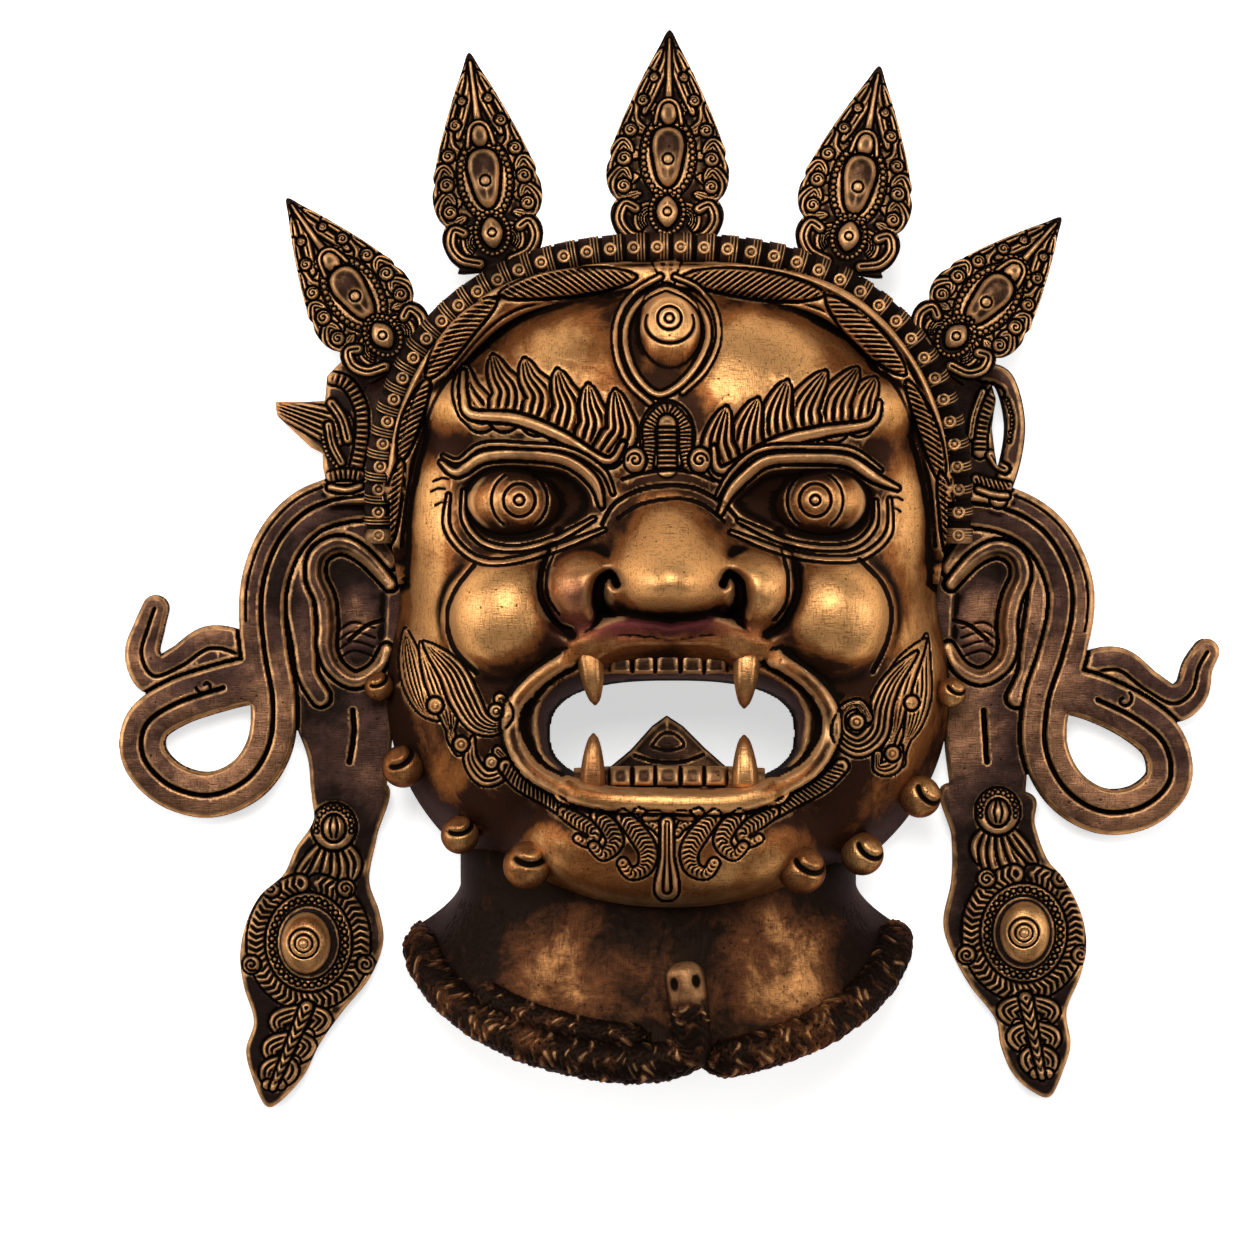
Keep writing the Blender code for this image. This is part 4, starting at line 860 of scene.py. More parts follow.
# %% Lofted pieces
def loft(name, rings, sides=20, facets=0, tones=(0.0, 0.6, 0.7), place=None):
    """A closed body through rings of (centre, side axis, front axis), each axis carrying its own length."""
    verts, quads = [], []
    for centre, across, front in rings:
        for k in range(sides):
            a = 2 * math.pi * k / sides
            squash = 1.0
            if facets:
                turn = (a * facets / (2 * math.pi)) % 1.0 - 0.5
                squash = math.cos(math.pi / facets) / math.cos(2 * math.pi * turn / facets)
                squash = 0.35 + 0.65 * squash
            verts.append(Vector(centre) + Vector(across) * math.cos(a) * squash + Vector(front) * math.sin(a) * squash)
    for r in range(len(rings) - 1):
        for k in range(sides):
            a, b = r * sides + k, r * sides + (k + 1) % sides
            quads.append((a, b, b + sides, a + sides))
    for ring, way in ((0, -1), (len(rings) - 1, 1)):
        verts.append(Vector(rings[ring][0]))
        hub = len(verts) - 1
        for k in range(0, sides, 2):
            a, b, c = (ring * sides + (k + i) % sides for i in (0, 1, 2))
            quads.append((hub, a, b, c) if way > 0 else (hub, c, b, a))
    fields = {key: np.full(len(verts), value) for key, value in zip(("hollow", "worn", "polish_and_painted_light"), tones)}
    obj = mesh_object(name, verts, quads, fields, place=place)
    tidy = bmesh.new()
    tidy.from_mesh(obj.data)
    bmesh.ops.recalc_face_normals(tidy, faces=tidy.faces)
    tidy.to_mesh(obj.data)
    tidy.free()
    return obj


def spike(name, root, tip, radius, bend=0.0):
    """A fang: thick for most of its length, then a blunt point."""
    rings = []
    for i in range(13):
        t = i / 12
        y = root[1] + (tip[1] - root[1]) * t
        x = root[0] + (tip[0] - root[0]) * t
        z = root[2] + (tip[2] - root[2]) * t + bend * math.sin(math.pi * t)
        r = radius * (1 - 0.72 * t ** 2.2) * math.sqrt(max(0.0, 1 - max(0.0, (t - 0.86) / 0.145) ** 2))
        rings.append(((x, y, z), (max(r, 0.05), 0, 0), (0, 0, max(r, 0.05))))
    return loft(name, rings, sides=24, facets=6)


FANGS = (
    ("upper_fang_left", (-19.6, -20.5, 55), (-18.2, -33.4, 54.5), 3.3),
    ("upper_fang_right", (19.0, -20.8, 55), (18.3, -34.2, 54.5), 3.4),
    ("lower_fang_left", (-18.9, -53.5, 55), (-18.6, -40.2, 54.0), 3.1),
    ("lower_fang_right", (18.6, -53.5, 55), (18.3, -40.6, 54.0), 3.3),
)
for name, root, tip, radius in FANGS:
    PIECES.append((spike(name, root, tip, radius, bend=1.2), "bright"))

# %% Rows of teeth and the tongue


def gum(relief, y, half, z, curve_y):
    """A smooth bar across the mouth, bowed in plan and in height."""
    bow = y + curve_y * (relief.X / 25) ** 2
    t = (relief.Y - bow) / half
    return z - 0.006 * relief.X ** 2 + 3.0 * np.sqrt(np.clip(1 - t * t, 0, 1)) - 12 * np.clip(np.abs(t) - 1, 0, 1), np.abs(t) - 1


for name, y, half, curve_y, tooth_y, tooth_half, way in (
    ("upper_teeth", -22.6, 3.4, 0.6, -23.6, 2.7, 1), ("lower_teeth", -51.8, 3.6, -0.8, -49.9, 2.7, -1),
):
    row = Relief(-24.5, 24.5, y - 8, y + 8, cell=0.2)
    row.base, t = gum(row, y, half, 52.0, curve_y)
    row.sd = np.maximum(t * half, np.abs(row.X) - 23.5)
    for i, x in enumerate((-12.0, -6.2, -0.4, 5.6, 11.4)):
        wide = 2.55 if i != 2 else 2.8
        square = np.maximum(np.abs((row.X - x) / wide), np.abs((row.Y - tooth_y - 0.6 * way) / tooth_half))
        row.cut = np.maximum(row.cut, 1.9 * np.clip(1 - square ** 5, 0, 1) ** 0.5)
        edge = np.abs(row.Y - (tooth_y - way * 1.9)) < 0.7
        row.cut = row.cut + 0.5 * edge * (square < 0.95)
        row.groove([(x - wide - 0.35, tooth_y - 3), (x - wide - 0.35, tooth_y + 3)], 0.4, 1.4, smooth=False)
    PIECES.append((cast(name, row, 0.3, lambda x, y: 46.0 + 0 * x, 10000), "trim"))

tongue = Relief(-18, 18, -56, -34, cell=0.25)
TONGUE = [(-15.5, -49.5), (-9.5, -44.5), (-4.2, -38.6), (-0.6, -36.0), (3.4, -38.6), (8.8, -44.0), (15.0, -49.5),
          (15.5, -54), (-15.5, -54)]
win, sd = tongue.signed(np.array(TONGUE + TONGUE[:1]), 8.0)
tongue.sd[win] = sd
tongue.base = 45.5 + 3.2 * np.sqrt(1 - (1 - np.clip(-tongue.sd / 5.0, 0, 1)) ** 2) - 0.02 * tongue.X ** 2
tongue.groove([(-8.5, -45.8), (-4, -47.2), (0, -47.6), (4, -47.2), (8.5, -45.6)], 0.5, 0.6)
tongue.groove([(-4.4, -43.6), (-2.4, -41.0), (-0.4, -40.2), (2.0, -41.0), (3.6, -43.4), (-0.4, -44.6), (-4.4, -43.6)], 0.4, 0.5)
PIECES.append((cast("tongue", tongue, 0.35, lambda x, y: 41.0 + 0 * x, 8000), "trim"))

# %% Warts along the jaw, each with a hooked curl
WARTS = (
    (-52.0, -66.0, 4.8, 100), (-35.0, -73.0, 6.0, 85), (32.8, -74.2, 5.9, 60), (48.3, -70.8, 5.4, 50),
    (-66.3, -49.0, 5.4, 120), (62.8, -56.6, 5.3, 40), (-72.6, -29.2, 3.7, 110), (70.8, -30.6, 3.7, 60),
)


def wart(name, x, y, radius, lean_deg):
    """A faceted ball with a curl hooked over its upper end."""
    probe = float(face.at(face.base, np.array([x * 0.95]), np.array([y * 0.95]))[0])
    z = min(max(probe - 1.0, 9.0), 43.0)
    n, m = 34, 50
    theta, phi = np.meshgrid(np.linspace(0, math.pi, n), np.linspace(0, 2 * math.pi, m, endpoint=False), indexing="ij")
    d = np.stack([np.sin(theta) * np.cos(phi), np.sin(theta) * np.sin(phi), np.cos(theta)], -1)
    rng = np.random.default_rng(int(abs(x) * 10))
    planes = rng.normal(size=(14, 3))
    planes /= np.linalg.norm(planes, axis=1)[:, None]
    flat = np.max(d @ planes.T, axis=-1)
    r = radius * (0.93 + 0.07 * np.minimum(1.0, 0.93 / np.clip(flat, 0.5, 1)))
    a = math.radians(lean_deg)
    up = np.array([math.cos(a) * 0.75, math.sin(a) * 0.75, 0.66])
    side_axis = np.cross(up, (0, 0, 1.0))
    side_axis /= np.linalg.norm(side_axis)
    third = np.cross(side_axis, up)
    u, v, w = d @ up, d @ side_axis, d @ third
    angle, around = np.arccos(np.clip(u, -1, 1)), np.arctan2(v, w)
    hook = rise((np.cos(around - 0.6) + 0.35) / 0.7)
    coil = angle - (0.62 + 0.05 * (around + math.pi))
    ridge = np.exp(-((coil + 0.34) / 0.18) ** 2) * hook
    dip = np.exp(-(coil / 0.12) ** 2) * hook
    r = r * (1 + 0.09 * ridge - 0.13 * dip)
    points = d * r[..., None] + (x, y, z)
    index = np.arange(n * m).reshape(n, m)
    nxt = np.roll(index, -1, axis=1)
    quads = np.stack([index[:-1], index[1:], nxt[1:], nxt[:-1]], -1).reshape(-1, 4)
    low = d[..., 2] < -0.2
    fields = {"hollow": np.where(low, 0.5, 0.75 * dip).ravel(), "worn": (0.5 * ridge).ravel(),
              "polish_and_painted_light": np.clip(0.2 + 0.5 * d[..., 2], 0, 1).ravel()}
    return mesh_object(name, points.reshape(-1, 3), quads, fields)


for i, (x, y, radius, lean) in enumerate(WARTS):
    PIECES.append((wart(f"wart_{i + 1}", x, y, radius, lean), "bright"))

# %% [markdown]
# ## Crown leaves
# Five leaves share one recipe, as a founder would use one wax pattern and then vary it by hand: a pointed plate, a
# long set stone in a collar of beads, a smaller stone below it, scrolls along both edges and veins up to the tip.

# %% One crown leaf
LEAF_EDGE = ((0.00, 0.68), (0.05, 0.84), (0.12, 0.93), (0.17, 0.90), (0.20, 0.83), (0.235, 0.93), (0.29, 1.00), (0.35, 1.0),
             (0.40, 0.93), (0.43, 0.95), (0.50, 0.85), (0.58, 0.74), (0.66, 0.62), (0.75, 0.47), (0.84, 0.32), (0.92, 0.17))
LEAF_THICK = 3.8


def crown_leaf(name, across, up, height, half_width, lean_deg, base_z, tilt_deg):
    """Drawn upright with its foot at the origin, then leaned and set on the crown."""
    leaf = Relief(-half_width - 2, half_width + 2, -3, height + 2, cell=0.16)
    h, w = height, half_width
    right = [(x * w, t * h) for t, x in LEAF_EDGE]
    outline = curve([(-0.62 * w, -1.5)] + [(0.62 * w, -1.5)] + right + [(0, h)] + [(-x, y) for x, y in right[::-1]],
                    closed=True, step=0.5)
    win, sd = leaf.signed(outline, 12.0)
    leaf.sd[win] = sd
    leaf.base = 0.9 * rise(-leaf.sd / 5.0) - 0.9
    for side in (-1, 1):
        def put(points):
            return [(x * w * side, y * h) for x, y in points]
        for path, half, lines in (
            (put([(0.14, 0.60), (0.34, 0.66), (0.30, 0.78), (0.10, 0.90)]), 1.7, 3),
            (put([(0.30, 0.50), (0.58, 0.56), (0.56, 0.68), (0.34, 0.80)]), 1.7, 3),
            (put([(0.46, 0.40), (0.80, 0.42), (0.82, 0.52), (0.62, 0.64)]), 1.8, 3),
            (put([(0.40, 0.60), (0.22, 0.72), (0.06, 0.84), (0.0, 0.94)]), 1.1, 2),
            (put([(0.50, 0.30), (0.86, 0.28), (0.94, 0.36), (0.76, 0.46), (0.60, 0.42)]), 1.9, 3),
            (put([(0.46, 0.22), (0.80, 0.20), (0.90, 0.27), (0.74, 0.33), (0.62, 0.29)]), 1.7, 3),
        ):
            leaf.stroke(path, taper(half, 0.5, 0.5), 1.5, moat=0.5, deep=0.8, lines=lines, line_cut=0.6, crown=0.3)
        for x, y, r in ((0.72, 0.255, 1.7), (0.72, 0.385, 1.8), (0.62, 0.52, 1.6), (0.42, 0.66, 1.4), (0.24, 0.77, 1.1)):
            x, y = x * w * side, y * h
            leaf.dome(x, y, r, r, 1.6, moat=0.5, deep=0.8)
            leaf.groove(spiral(x, y, 0.25, r * 0.75, 90, 1.2 * side), 0.3, 0.8, smooth=False)
        for k in range(4):
            grow = 1 + 0.42 * k
            arc = [(x * side, y) for x, y in oval(0.30 * w, 0.10 * h, 1.5 * grow, 1.7 * grow, 0, -50, 190, 24)]
            leaf.stroke(arc, 0.42, 1.3, moat=0.35, deep=0.7, crown=0.4, smooth=False)
        leaf.stroke(put([(0.30, 0.0), (0.62, 0.03), (0.78, 0.10), (0.70, 0.17), (0.52, 0.15)]), 1.2, 1.5, moat=0.5, deep=0.8,
                    lines=2, crown=0.3)
    leaf.stroke([(0, 0.66 * h), (0, 0.8 * h), (0, 0.95 * h)], lambda t: 0.9 - 0.6 * t, 1.5, moat=0.5, deep=0.7)
    cx, cy = 0.0, 0.385 * h
    collar = oval(cx, cy + 0.6, 6.1, 9.9, 0, 90, 360, 60)
    leaf.pillow(oval(cx, cy + 0.6, 6.9, 10.7), 0.9, edge=1.0, moat=0.5, deep=0.8, smooth=False)
    leaf.bead_line(collar, 0.62, 1.55, 1.1, smooth=False)
    leaf.bead_line(oval(cx, cy + 9.5, 4.2, 4.2, 0, 20, 140, 24), 0.55, 1.35, 1.2, smooth=False)
    leaf.dome(0, 0.60 * h, 2.2, 3.0, 2.2, moat=0.6, deep=0.9)
    leaf.stroke([(-3.3, 0.55 * h), (-2.2, 0.635 * h), (0, 0.66 * h), (2.2, 0.635 * h), (3.3, 0.55 * h)], 0.45, 1.5, moat=0.4,
                deep=0.7)
    egg = curve([(0, cy - 7.2), (2.3, cy - 5.2), (3.6, cy), (4.0, cy + 4.0), (2.8, cy + 7.0), (0, cy + 8.0), (-2.8, cy + 7.0),
                 (-4.0, cy + 4.0), (-3.6, cy), (-2.3, cy - 5.2)], closed=True)
    leaf.pillow(egg, 3.3, edge=3.6, moat=0.7, deep=1.0, smooth=False)
    leaf.groove(oval(0, cy - 0.6, 1.35, 1.35), 0.3, 0.6, smooth=False)
    leaf.bead_line(oval(0, 0.135 * h, 4.1, 5.4, 0, 90, 360, 40), 0.5, 1.25, 1.1, smooth=False)
    drop = curve([(0, 0.06 * h), (1.7, 0.085 * h), (2.7, 0.13 * h), (2.1, 0.175 * h), (0, 0.21 * h), (-2.1, 0.175 * h),
                  (-2.7, 0.13 * h), (-1.7, 0.085 * h)], closed=True)
    leaf.pillow(drop, 2.6, edge=2.4, moat=0.6, deep=0.9, smooth=False)
    leaf.groove(oval(0, 0.13 * h, 1.0, 1.0), 0.28, 0.6, smooth=False)
    foot = (across * BAND_HALF[0], BAND_CENTRE_Y + up * BAND_HALF[1], base_z)
    place = (Matrix.Translation(foot) @ Matrix.Rotation(math.radians(lean_deg), 4, "Z")
             @ Matrix.Rotation(math.radians(-tilt_deg), 4, "X"))
    leaf.base += LEAF_THICK / 2 - 0.1
    return cast(name, leaf, 0.24, lambda x, y: -LEAF_THICK / 2 + 0 * x, 30000, place=place, round_edge=0.5)


CROWN_LEAVES = {
    "leaf_outer_left": (-0.9310, 0.5970, 49.5, 13.4, 35.0, 19.0, 6.0),
    "leaf_inner_left": (-0.5931, 0.9478, 54.0, 13.6, 7.5, 25.0, 8.0),
    "leaf_middle": (-0.0069, 1.0224, 54.0, 15.2, -0.8, 28.0, 8.0),
    "leaf_inner_right": (0.6000, 0.9403, 51.5, 14.2, -10.5, 25.0, 8.0),
    "leaf_outer_right": (0.9310, 0.6045, 47.0, 13.4, -41.5, 19.0, 6.0),
}
for name, sizes in CROWN_LEAVES.items():
    PIECES.append((crown_leaf(name, *sizes), "trim"))

# %% [markdown]
# ## The crown band
# The band is a rod that follows an arch, and its pattern of rings and small tiles repeats all the way along. That is
# work for Geometry Nodes: one tree sweeps the rod and puts the rings and tiles on evenly spaced points of the same
# curve, so the count or the size can be changed afterwards without any placing by hand.

# %% The arch that the band follows
def to_frame(points):
    return (np.asarray(points, float) - (*DRAWN_CENTRE, 0.0)) * MM + (PLAN_CENTRE.x, PLAN_CENTRE.y, LOW.z)


def curve_object(name, points):
    data = bpy.data.curves.new(name, "CURVE")
    data.dimensions = "3D"
    line = data.splines.new("POLY")
    line.points.add(len(points) - 1)
    line.points.foreach_set("co", np.c_[to_frame(points), np.ones(len(points))].astype(np.float32).ravel())
    obj = bpy.data.objects.new(name, data)
    bpy.context.scene.collection.objects.link(obj)
    return obj


# %% A node tree for a rod with rings and tiles
def band_tree():
    tree = bpy.data.node_groups.new("Banded rod", "GeometryNodeTree")
    tree.interface.new_socket("Geometry", in_out="INPUT", socket_type="NodeSocketGeometry")
    tree.interface.new_socket("Geometry", in_out="OUTPUT", socket_type="NodeSocketGeometry")
    for name, kind in (("Rod radius", "FLOAT"), ("Ring radius", "FLOAT"), ("Ring thickness", "FLOAT"), ("Units", "INT"),
                       ("Rings a unit", "INT"), ("Tile size", "FLOAT"), ("Drum length", "FLOAT"), ("Material", "MATERIAL")):
        tree.interface.new_socket(name, in_out="INPUT", socket_type={
            "FLOAT": "NodeSocketFloat", "INT": "NodeSocketInt", "MATERIAL": "NodeSocketMaterial"}[kind])
    nodes, links = tree.nodes, tree.links
    group, out = nodes.new("NodeGroupInput"), nodes.new("NodeGroupOutput")

    def node(kind, **props):
        made = nodes.new(kind)
        for key, value in props.items():
            setattr(made, key, value)
        return made

    def maths(operation, a, b):
        made = node("ShaderNodeMath", operation=operation)
        for i, value in enumerate((a, b)):
            if isinstance(value, (int, float)):
                made.inputs[i].default_value = value
            else:
                links.new(value, made.inputs[i])
        return made.outputs[0]

    def spaced(count):
        """Points along the curve that remember its direction."""
        even = node("GeometryNodeResampleCurve")
        even.inputs["Count"].default_value = 2
        links.new(group.outputs["Geometry"], even.inputs["Curve"])
        links.new(count, even.inputs["Count"])
        points = node("GeometryNodeCurveToPoints")
        points.mode = "EVALUATED"
        links.new(even.outputs[0], points.inputs[0])
        return points

    section = node("GeometryNodeCurvePrimitiveCircle")
    section.inputs["Resolution"].default_value = 24
    links.new(group.outputs["Rod radius"], section.inputs["Radius"])
    rod = node("GeometryNodeCurveToMesh")
    rod.inputs["Fill Caps"].default_value = True
    links.new(group.outputs["Geometry"], rod.inputs["Curve"])
    links.new(section.outputs["Curve"], rod.inputs["Profile Curve"])

    rings = spaced(maths("MULTIPLY", group.outputs["Units"], group.outputs["Rings a unit"]))
    place = node("ShaderNodeMath", operation="MODULO")
    links.new(node("GeometryNodeInputIndex").outputs[0], place.inputs[0])
    links.new(group.outputs["Rings a unit"], place.inputs[1])
    leave = maths("GREATER_THAN", place.outputs[0], 3.5)
    circle = node("GeometryNodeCurvePrimitiveCircle")
    circle.inputs["Resolution"].default_value = 22
    links.new(group.outputs["Ring radius"], circle.inputs["Radius"])
    wire = node("GeometryNodeCurvePrimitiveCircle")
    wire.inputs["Resolution"].default_value = 6
    links.new(group.outputs["Ring thickness"], wire.inputs["Radius"])
    ring = node("GeometryNodeCurveToMesh")
    links.new(circle.outputs["Curve"], ring.inputs["Curve"])
    links.new(wire.outputs["Curve"], ring.inputs["Profile Curve"])
    put_rings = node("GeometryNodeInstanceOnPoints")
    links.new(rings.outputs["Points"], put_rings.inputs["Points"])
    links.new(leave, put_rings.inputs["Selection"])
    links.new(ring.outputs[0], put_rings.inputs["Instance"])
    links.new(rings.outputs["Rotation"], put_rings.inputs["Rotation"])

    stud = node("GeometryNodeMeshUVSphere")
    stud.inputs["Segments"].default_value = 14
    stud.inputs["Rings"].default_value = 8
    links.new(maths("MULTIPLY", group.outputs["Tile size"], 0.5), stud.inputs["Radius"])
    eye = node("GeometryNodeCurvePrimitiveCircle")
    eye.inputs["Resolution"].default_value = 18
    links.new(group.outputs["Tile size"], eye.inputs["Radius"])
    wire_round = node("GeometryNodeCurveToMesh")
    links.new(eye.outputs["Curve"], wire_round.inputs["Curve"])
    links.new(wire.outputs["Curve"], wire_round.inputs["Profile Curve"])
    tile = node("GeometryNodeJoinGeometry")
    links.new(stud.outputs["Mesh"], tile.inputs[0])
    links.new(wire_round.outputs[0], tile.inputs[0])
    dots = spaced(group.outputs["Units"])
    lift = node("GeometryNodeSetPosition")
    up = node("ShaderNodeCombineXYZ")
    links.new(maths("ADD", group.outputs["Rod radius"], group.outputs["Ring thickness"]), up.inputs["Z"])
    links.new(dots.outputs["Points"], lift.inputs["Geometry"])
    links.new(up.outputs[0], lift.inputs["Offset"])
    put_dots = node("GeometryNodeInstanceOnPoints")
    links.new(lift.outputs[0], put_dots.inputs["Points"])
    links.new(tile.outputs[0], put_dots.inputs["Instance"])

    drum = node("GeometryNodeMeshCylinder")
    drum.inputs["Vertices"].default_value = 28
    links.new(maths("ADD", group.outputs["Rod radius"], maths("MULTIPLY", group.outputs["Ring thickness"], 0.9)),
              drum.inputs["Radius"])
    links.new(group.outputs["Drum length"], drum.inputs["Depth"])
    put_drums = node("GeometryNodeInstanceOnPoints")
    links.new(dots.outputs["Points"], put_drums.inputs["Points"])
    links.new(dots.outputs["Rotation"], put_drums.inputs["Rotation"])
    links.new(drum.outputs["Mesh"], put_drums.inputs["Instance"])

    join = node("GeometryNodeJoinGeometry")
    for source in (rod, put_rings, put_drums, put_dots):
        links.new(source.outputs[0], join.inputs[0])
    real = node("GeometryNodeRealizeInstances")
    links.new(join.outputs[0], real.inputs[0])
    smooth = node("GeometryNodeSetShadeSmooth")
    links.new(real.outputs[0], smooth.inputs[0])
    paint = node("GeometryNodeSetMaterial")
    links.new(smooth.outputs[0], paint.inputs["Geometry"])
    links.new(group.outputs["Material"], paint.inputs["Material"])
    links.new(paint.outputs[0], out.inputs[0])
    return tree


def grown(obj, tree, values):
    """Puts the tree on the object, sets its inputs by name and turns the result into a plain mesh object."""
    modifier = obj.modifiers.new("Grow", "NODES")
    modifier.node_group = tree
    sockets = {s.name: s.identifier for s in tree.interface.items_tree if s.in_out == "INPUT"}
    for key, value in values.items():
        modifier[sockets[key]] = value
    graph = bpy.context.evaluated_depsgraph_get()
    mesh = bpy.data.meshes.new_from_object(obj.evaluated_get(graph))
    name = obj.name
    line = obj.data
    bpy.data.objects.remove(obj)
    bpy.data.curves.remove(line)
    done = bpy.data.objects.new(name, mesh)
    bpy.context.scene.collection.objects.link(done)
    return done


def paint_attributes(obj, centre_path, radius):
    """Wear maps for swept pieces, from how far each point stands off the path."""
    points = np.empty(len(obj.data.vertices) * 3, np.float32)
    obj.data.vertices.foreach_get("co", points)
    points = points.reshape(-1, 3)
    path = to_frame(centre_path)
    far = np.full(len(points), 9.0)
    for a, b in zip(path[:-1], path[1:]):
        ab = b - a
        t = np.clip((points - a) @ ab / max(ab @ ab, 1e-12), 0, 1)
        far = np.minimum(far, np.linalg.norm(points - a - t[:, None] * ab, axis=1))
    off = (far / MM - radius) / 0.8
    values = {"hollow": np.clip(0.5 - off * 3.0, 0, 0.8), "worn": np.clip((off - 0.42) * 3.6, 0, 0.95), "polish_and_painted_light": 0.42 + 0 * off}
    for key, value in values.items():
        obj.data.attributes.new(key, "FLOAT", "POINT").data.foreach_set("value", value.astype(np.float32))


BAND_RADIUS = 3.3
BAND_PATH = arch(0.0, 182.0, -2.0, 16.0, 31.0, 150)
band = grown(curve_object("crown_band", BAND_PATH), band_tree(), {
    "Rod radius": BAND_RADIUS * MM, "Ring radius": (BAND_RADIUS + 0.15) * MM, "Ring thickness": 0.44 * MM,
    "Units": 42, "Rings a unit": 7, "Tile size": 1.25 * MM, "Drum length": 3.5 * MM,
})
paint_attributes(band, BAND_PATH, BAND_RADIUS)
PIECES.append((band, "trim"))
print("crown band:", len(band.data.polygons), "faces")

# %% [markdown]
# ## Ears, ribbons, pendants and side ornaments
# On each side these are cast as one flat slab, so they are one height map: a union of plates and bands gives the
# outline, with the ribbon's loop left open, and the strokes are carved on top in the order in which they overlap.

# %% The outline of one side
RIBBONS = {
    -1: [(-68, 19), (-80, 18.5), (-90, 15.5), (-97, 9), (-101, 0.5), (-102.5, -9), (-101.5, -21), (-99.5, -33),
         (-100.5, -44), (-106, -52.5), (-115.5, -56.5), (-125.5, -54), (-132, -47), (-131.5, -39), (-124, -33.5),
         (-112, -29.5), (-103, -27.5)],
    1: [(68, 17), (80, 16.5), (89.5, 13.5), (96.5, 7.5), (101, -2), (101.5, -11), (99, -22), (95.5, -33), (95, -45),
        (100, -55), (109, -60.5), (119, -59.5), (126, -53), (125, -44), (118, -37.5), (108, -32.5), (99, -30)],
}
CURLS = {
    -1: [(-101, -27), (-106.5, -22.0), (-115, -19.5), (-122.5, -24), (-129.5, -26.5), (-132.6, -21), (-131, -14.5),
         (-129.3, -9.5)],
    1: [(99, -30), (105.5, -26.5), (113, -25), (120, -30), (127, -33.5), (131.8, -30.5), (133.4, -24.5), (135.6, -20.5)],
}
EAR = [(64, 16), (76, 17.5), (88, 15), (96, 7), (99, -2), (98.5, -14), (97, -25), (95, -36), (91, -47), (89.5, -58),
       (84, -66), (76, -66), (72, -58), (70, -46), (68.5, -30), (62, -20)]
PENDANTS = {
    -1: [(-88.5, -54), (-89.5, -63), (-94, -70), (-97, -76.5), (-103, -82), (-106.5, -89), (-108, -97), (-107, -105),
         (-104.5, -113.5), (-106.5, -121), (-104.5, -129), (-101.5, -135), (-98, -134), (-92, -127.5), (-88, -119.5),
         (-82, -111), (-75.5, -103), (-72, -94), (-73, -86), (-75.5, -78), (-73.5, -67), (-71, -54)],
    1: [(91, -56), (92.5, -64), (95.5, -72.5), (100, -78), (104, -86), (105.5, -94), (104, -102), (100.5, -111),
        (101.5, -119), (100, -125), (96.5, -132.5), (92, -131.5), (87, -127), (84, -120), (82.5, -113), (76, -104.5),
        (71, -95), (69.5, -88), (71.5, -78), (71.5, -67), (69.5, -54)],
}
FANS = {
    -1: ([(-69, 50), (-81, 54), (-86, 49), (-87, 36), (-87, 26), (-85, 17), (-70, 17)],
         [(-84, 28), (-90, 31), (-98.5, 39), (-99, 42.5), (-92, 42.5), (-83, 43)]),
    1: ([(69, 50), (80, 52), (82.5, 43), (81.5, 36), (82.5, 28), (84, 17), (70, 17)],),
}
FAN_RING = [(79, 50), (84.5, 48), (87.3, 38), (86.3, 28), (83, 18)]


def add_outline(relief, outline, top, smooth=True):
    """Joins a plate to the relief's outline and lifts its top there."""
    path = curve(outline, closed=True) if smooth else np.array(list(outline) + [outline[0]], float)
    win, sd = relief.signed(path, 8.0)
    relief.sd[win] = np.minimum(relief.sd[win], sd)
    relief.base[win] = np.where(sd < 0.3, top, relief.base[win])
    return win, sd


def add_band(relief, path, half, top):
    """Joins a band along a path to the relief's outline."""
    half_at = half if callable(half) else (lambda t: half + 0 * t)
    path = curve(path)
    win, D, S, _, length = relief.near(path, 14.0)
    sd = D - half_at(S / length)
    relief.sd[win] = np.minimum(relief.sd[win], sd)
    relief.base[win] = np.where(sd < 0.3, np.maximum(relief.base[win], top), relief.base[win])


def curl_half(t):
    """Half-width of the ribbon's curled end, which narrows to a flame."""
    return 6.0 - 2.6 * t ** 2


def plain_side(side):
    low, high = (-141, -60) if side < 0 else (60, 141)
    slab = Relief(low, high, -138, 57, cell=0.2, base=3.0)
    add_outline(slab, PENDANTS[side], 6.4)
    add_outline(slab, [(x * side, y) for x, y in EAR], 6.6)
    for outline in FANS[side]:
        add_outline(slab, outline, 9.6, smooth=False)
    if side > 0:
        add_band(slab, FAN_RING, 2.6, 9.6)
    add_band(slab, CURLS[side], curl_half, 5.8)
    add_band(slab, RIBBONS[side], 5.8, 6.2)
    slab.base = blur(slab.base, 3.0)
    return slab


# %% Carving one side
EAR_RIDGES = {
    -1: ([(-70.5, 2.5), (-76, 9.0), (-84.0, 12.5), (-91.5, 9.5), (-94.2, 2.5), (-93.0, -7.5), (-91.6, -18), (-90.8, -26),
          (-87.5, -31.8)],
         [(-70, -3.5), (-76.5, 3.5), (-82.5, 6.5), (-87.8, 4), (-88.8, -1.5), (-86.4, -7.5), (-85.8, -14), (-86.0, -19.5),
          (-83.9, -24.5), (-79.0, -27.6), (-73.8, -25.0), (-71.0, -20)]),
    1: ([(71.2, 0.8), (77, 7.8), (85.2, 10.6), (92.0, 7.2), (94.8, 0.2), (93.8, -9.3), (91.8, -18.9), (90.6, -25.8),
         (87.6, -32.0)],
        [(71.2, -3.4), (77, 2.9), (82.7, 5.5), (87.4, 3.6), (88.8, -1.3), (86.6, -6.9), (85.4, -13.1), (85.6, -18.9),
         (83.9, -23.6), (78.9, -26.7), (73.8, -24.6), (70.6, -19.5)]),
}


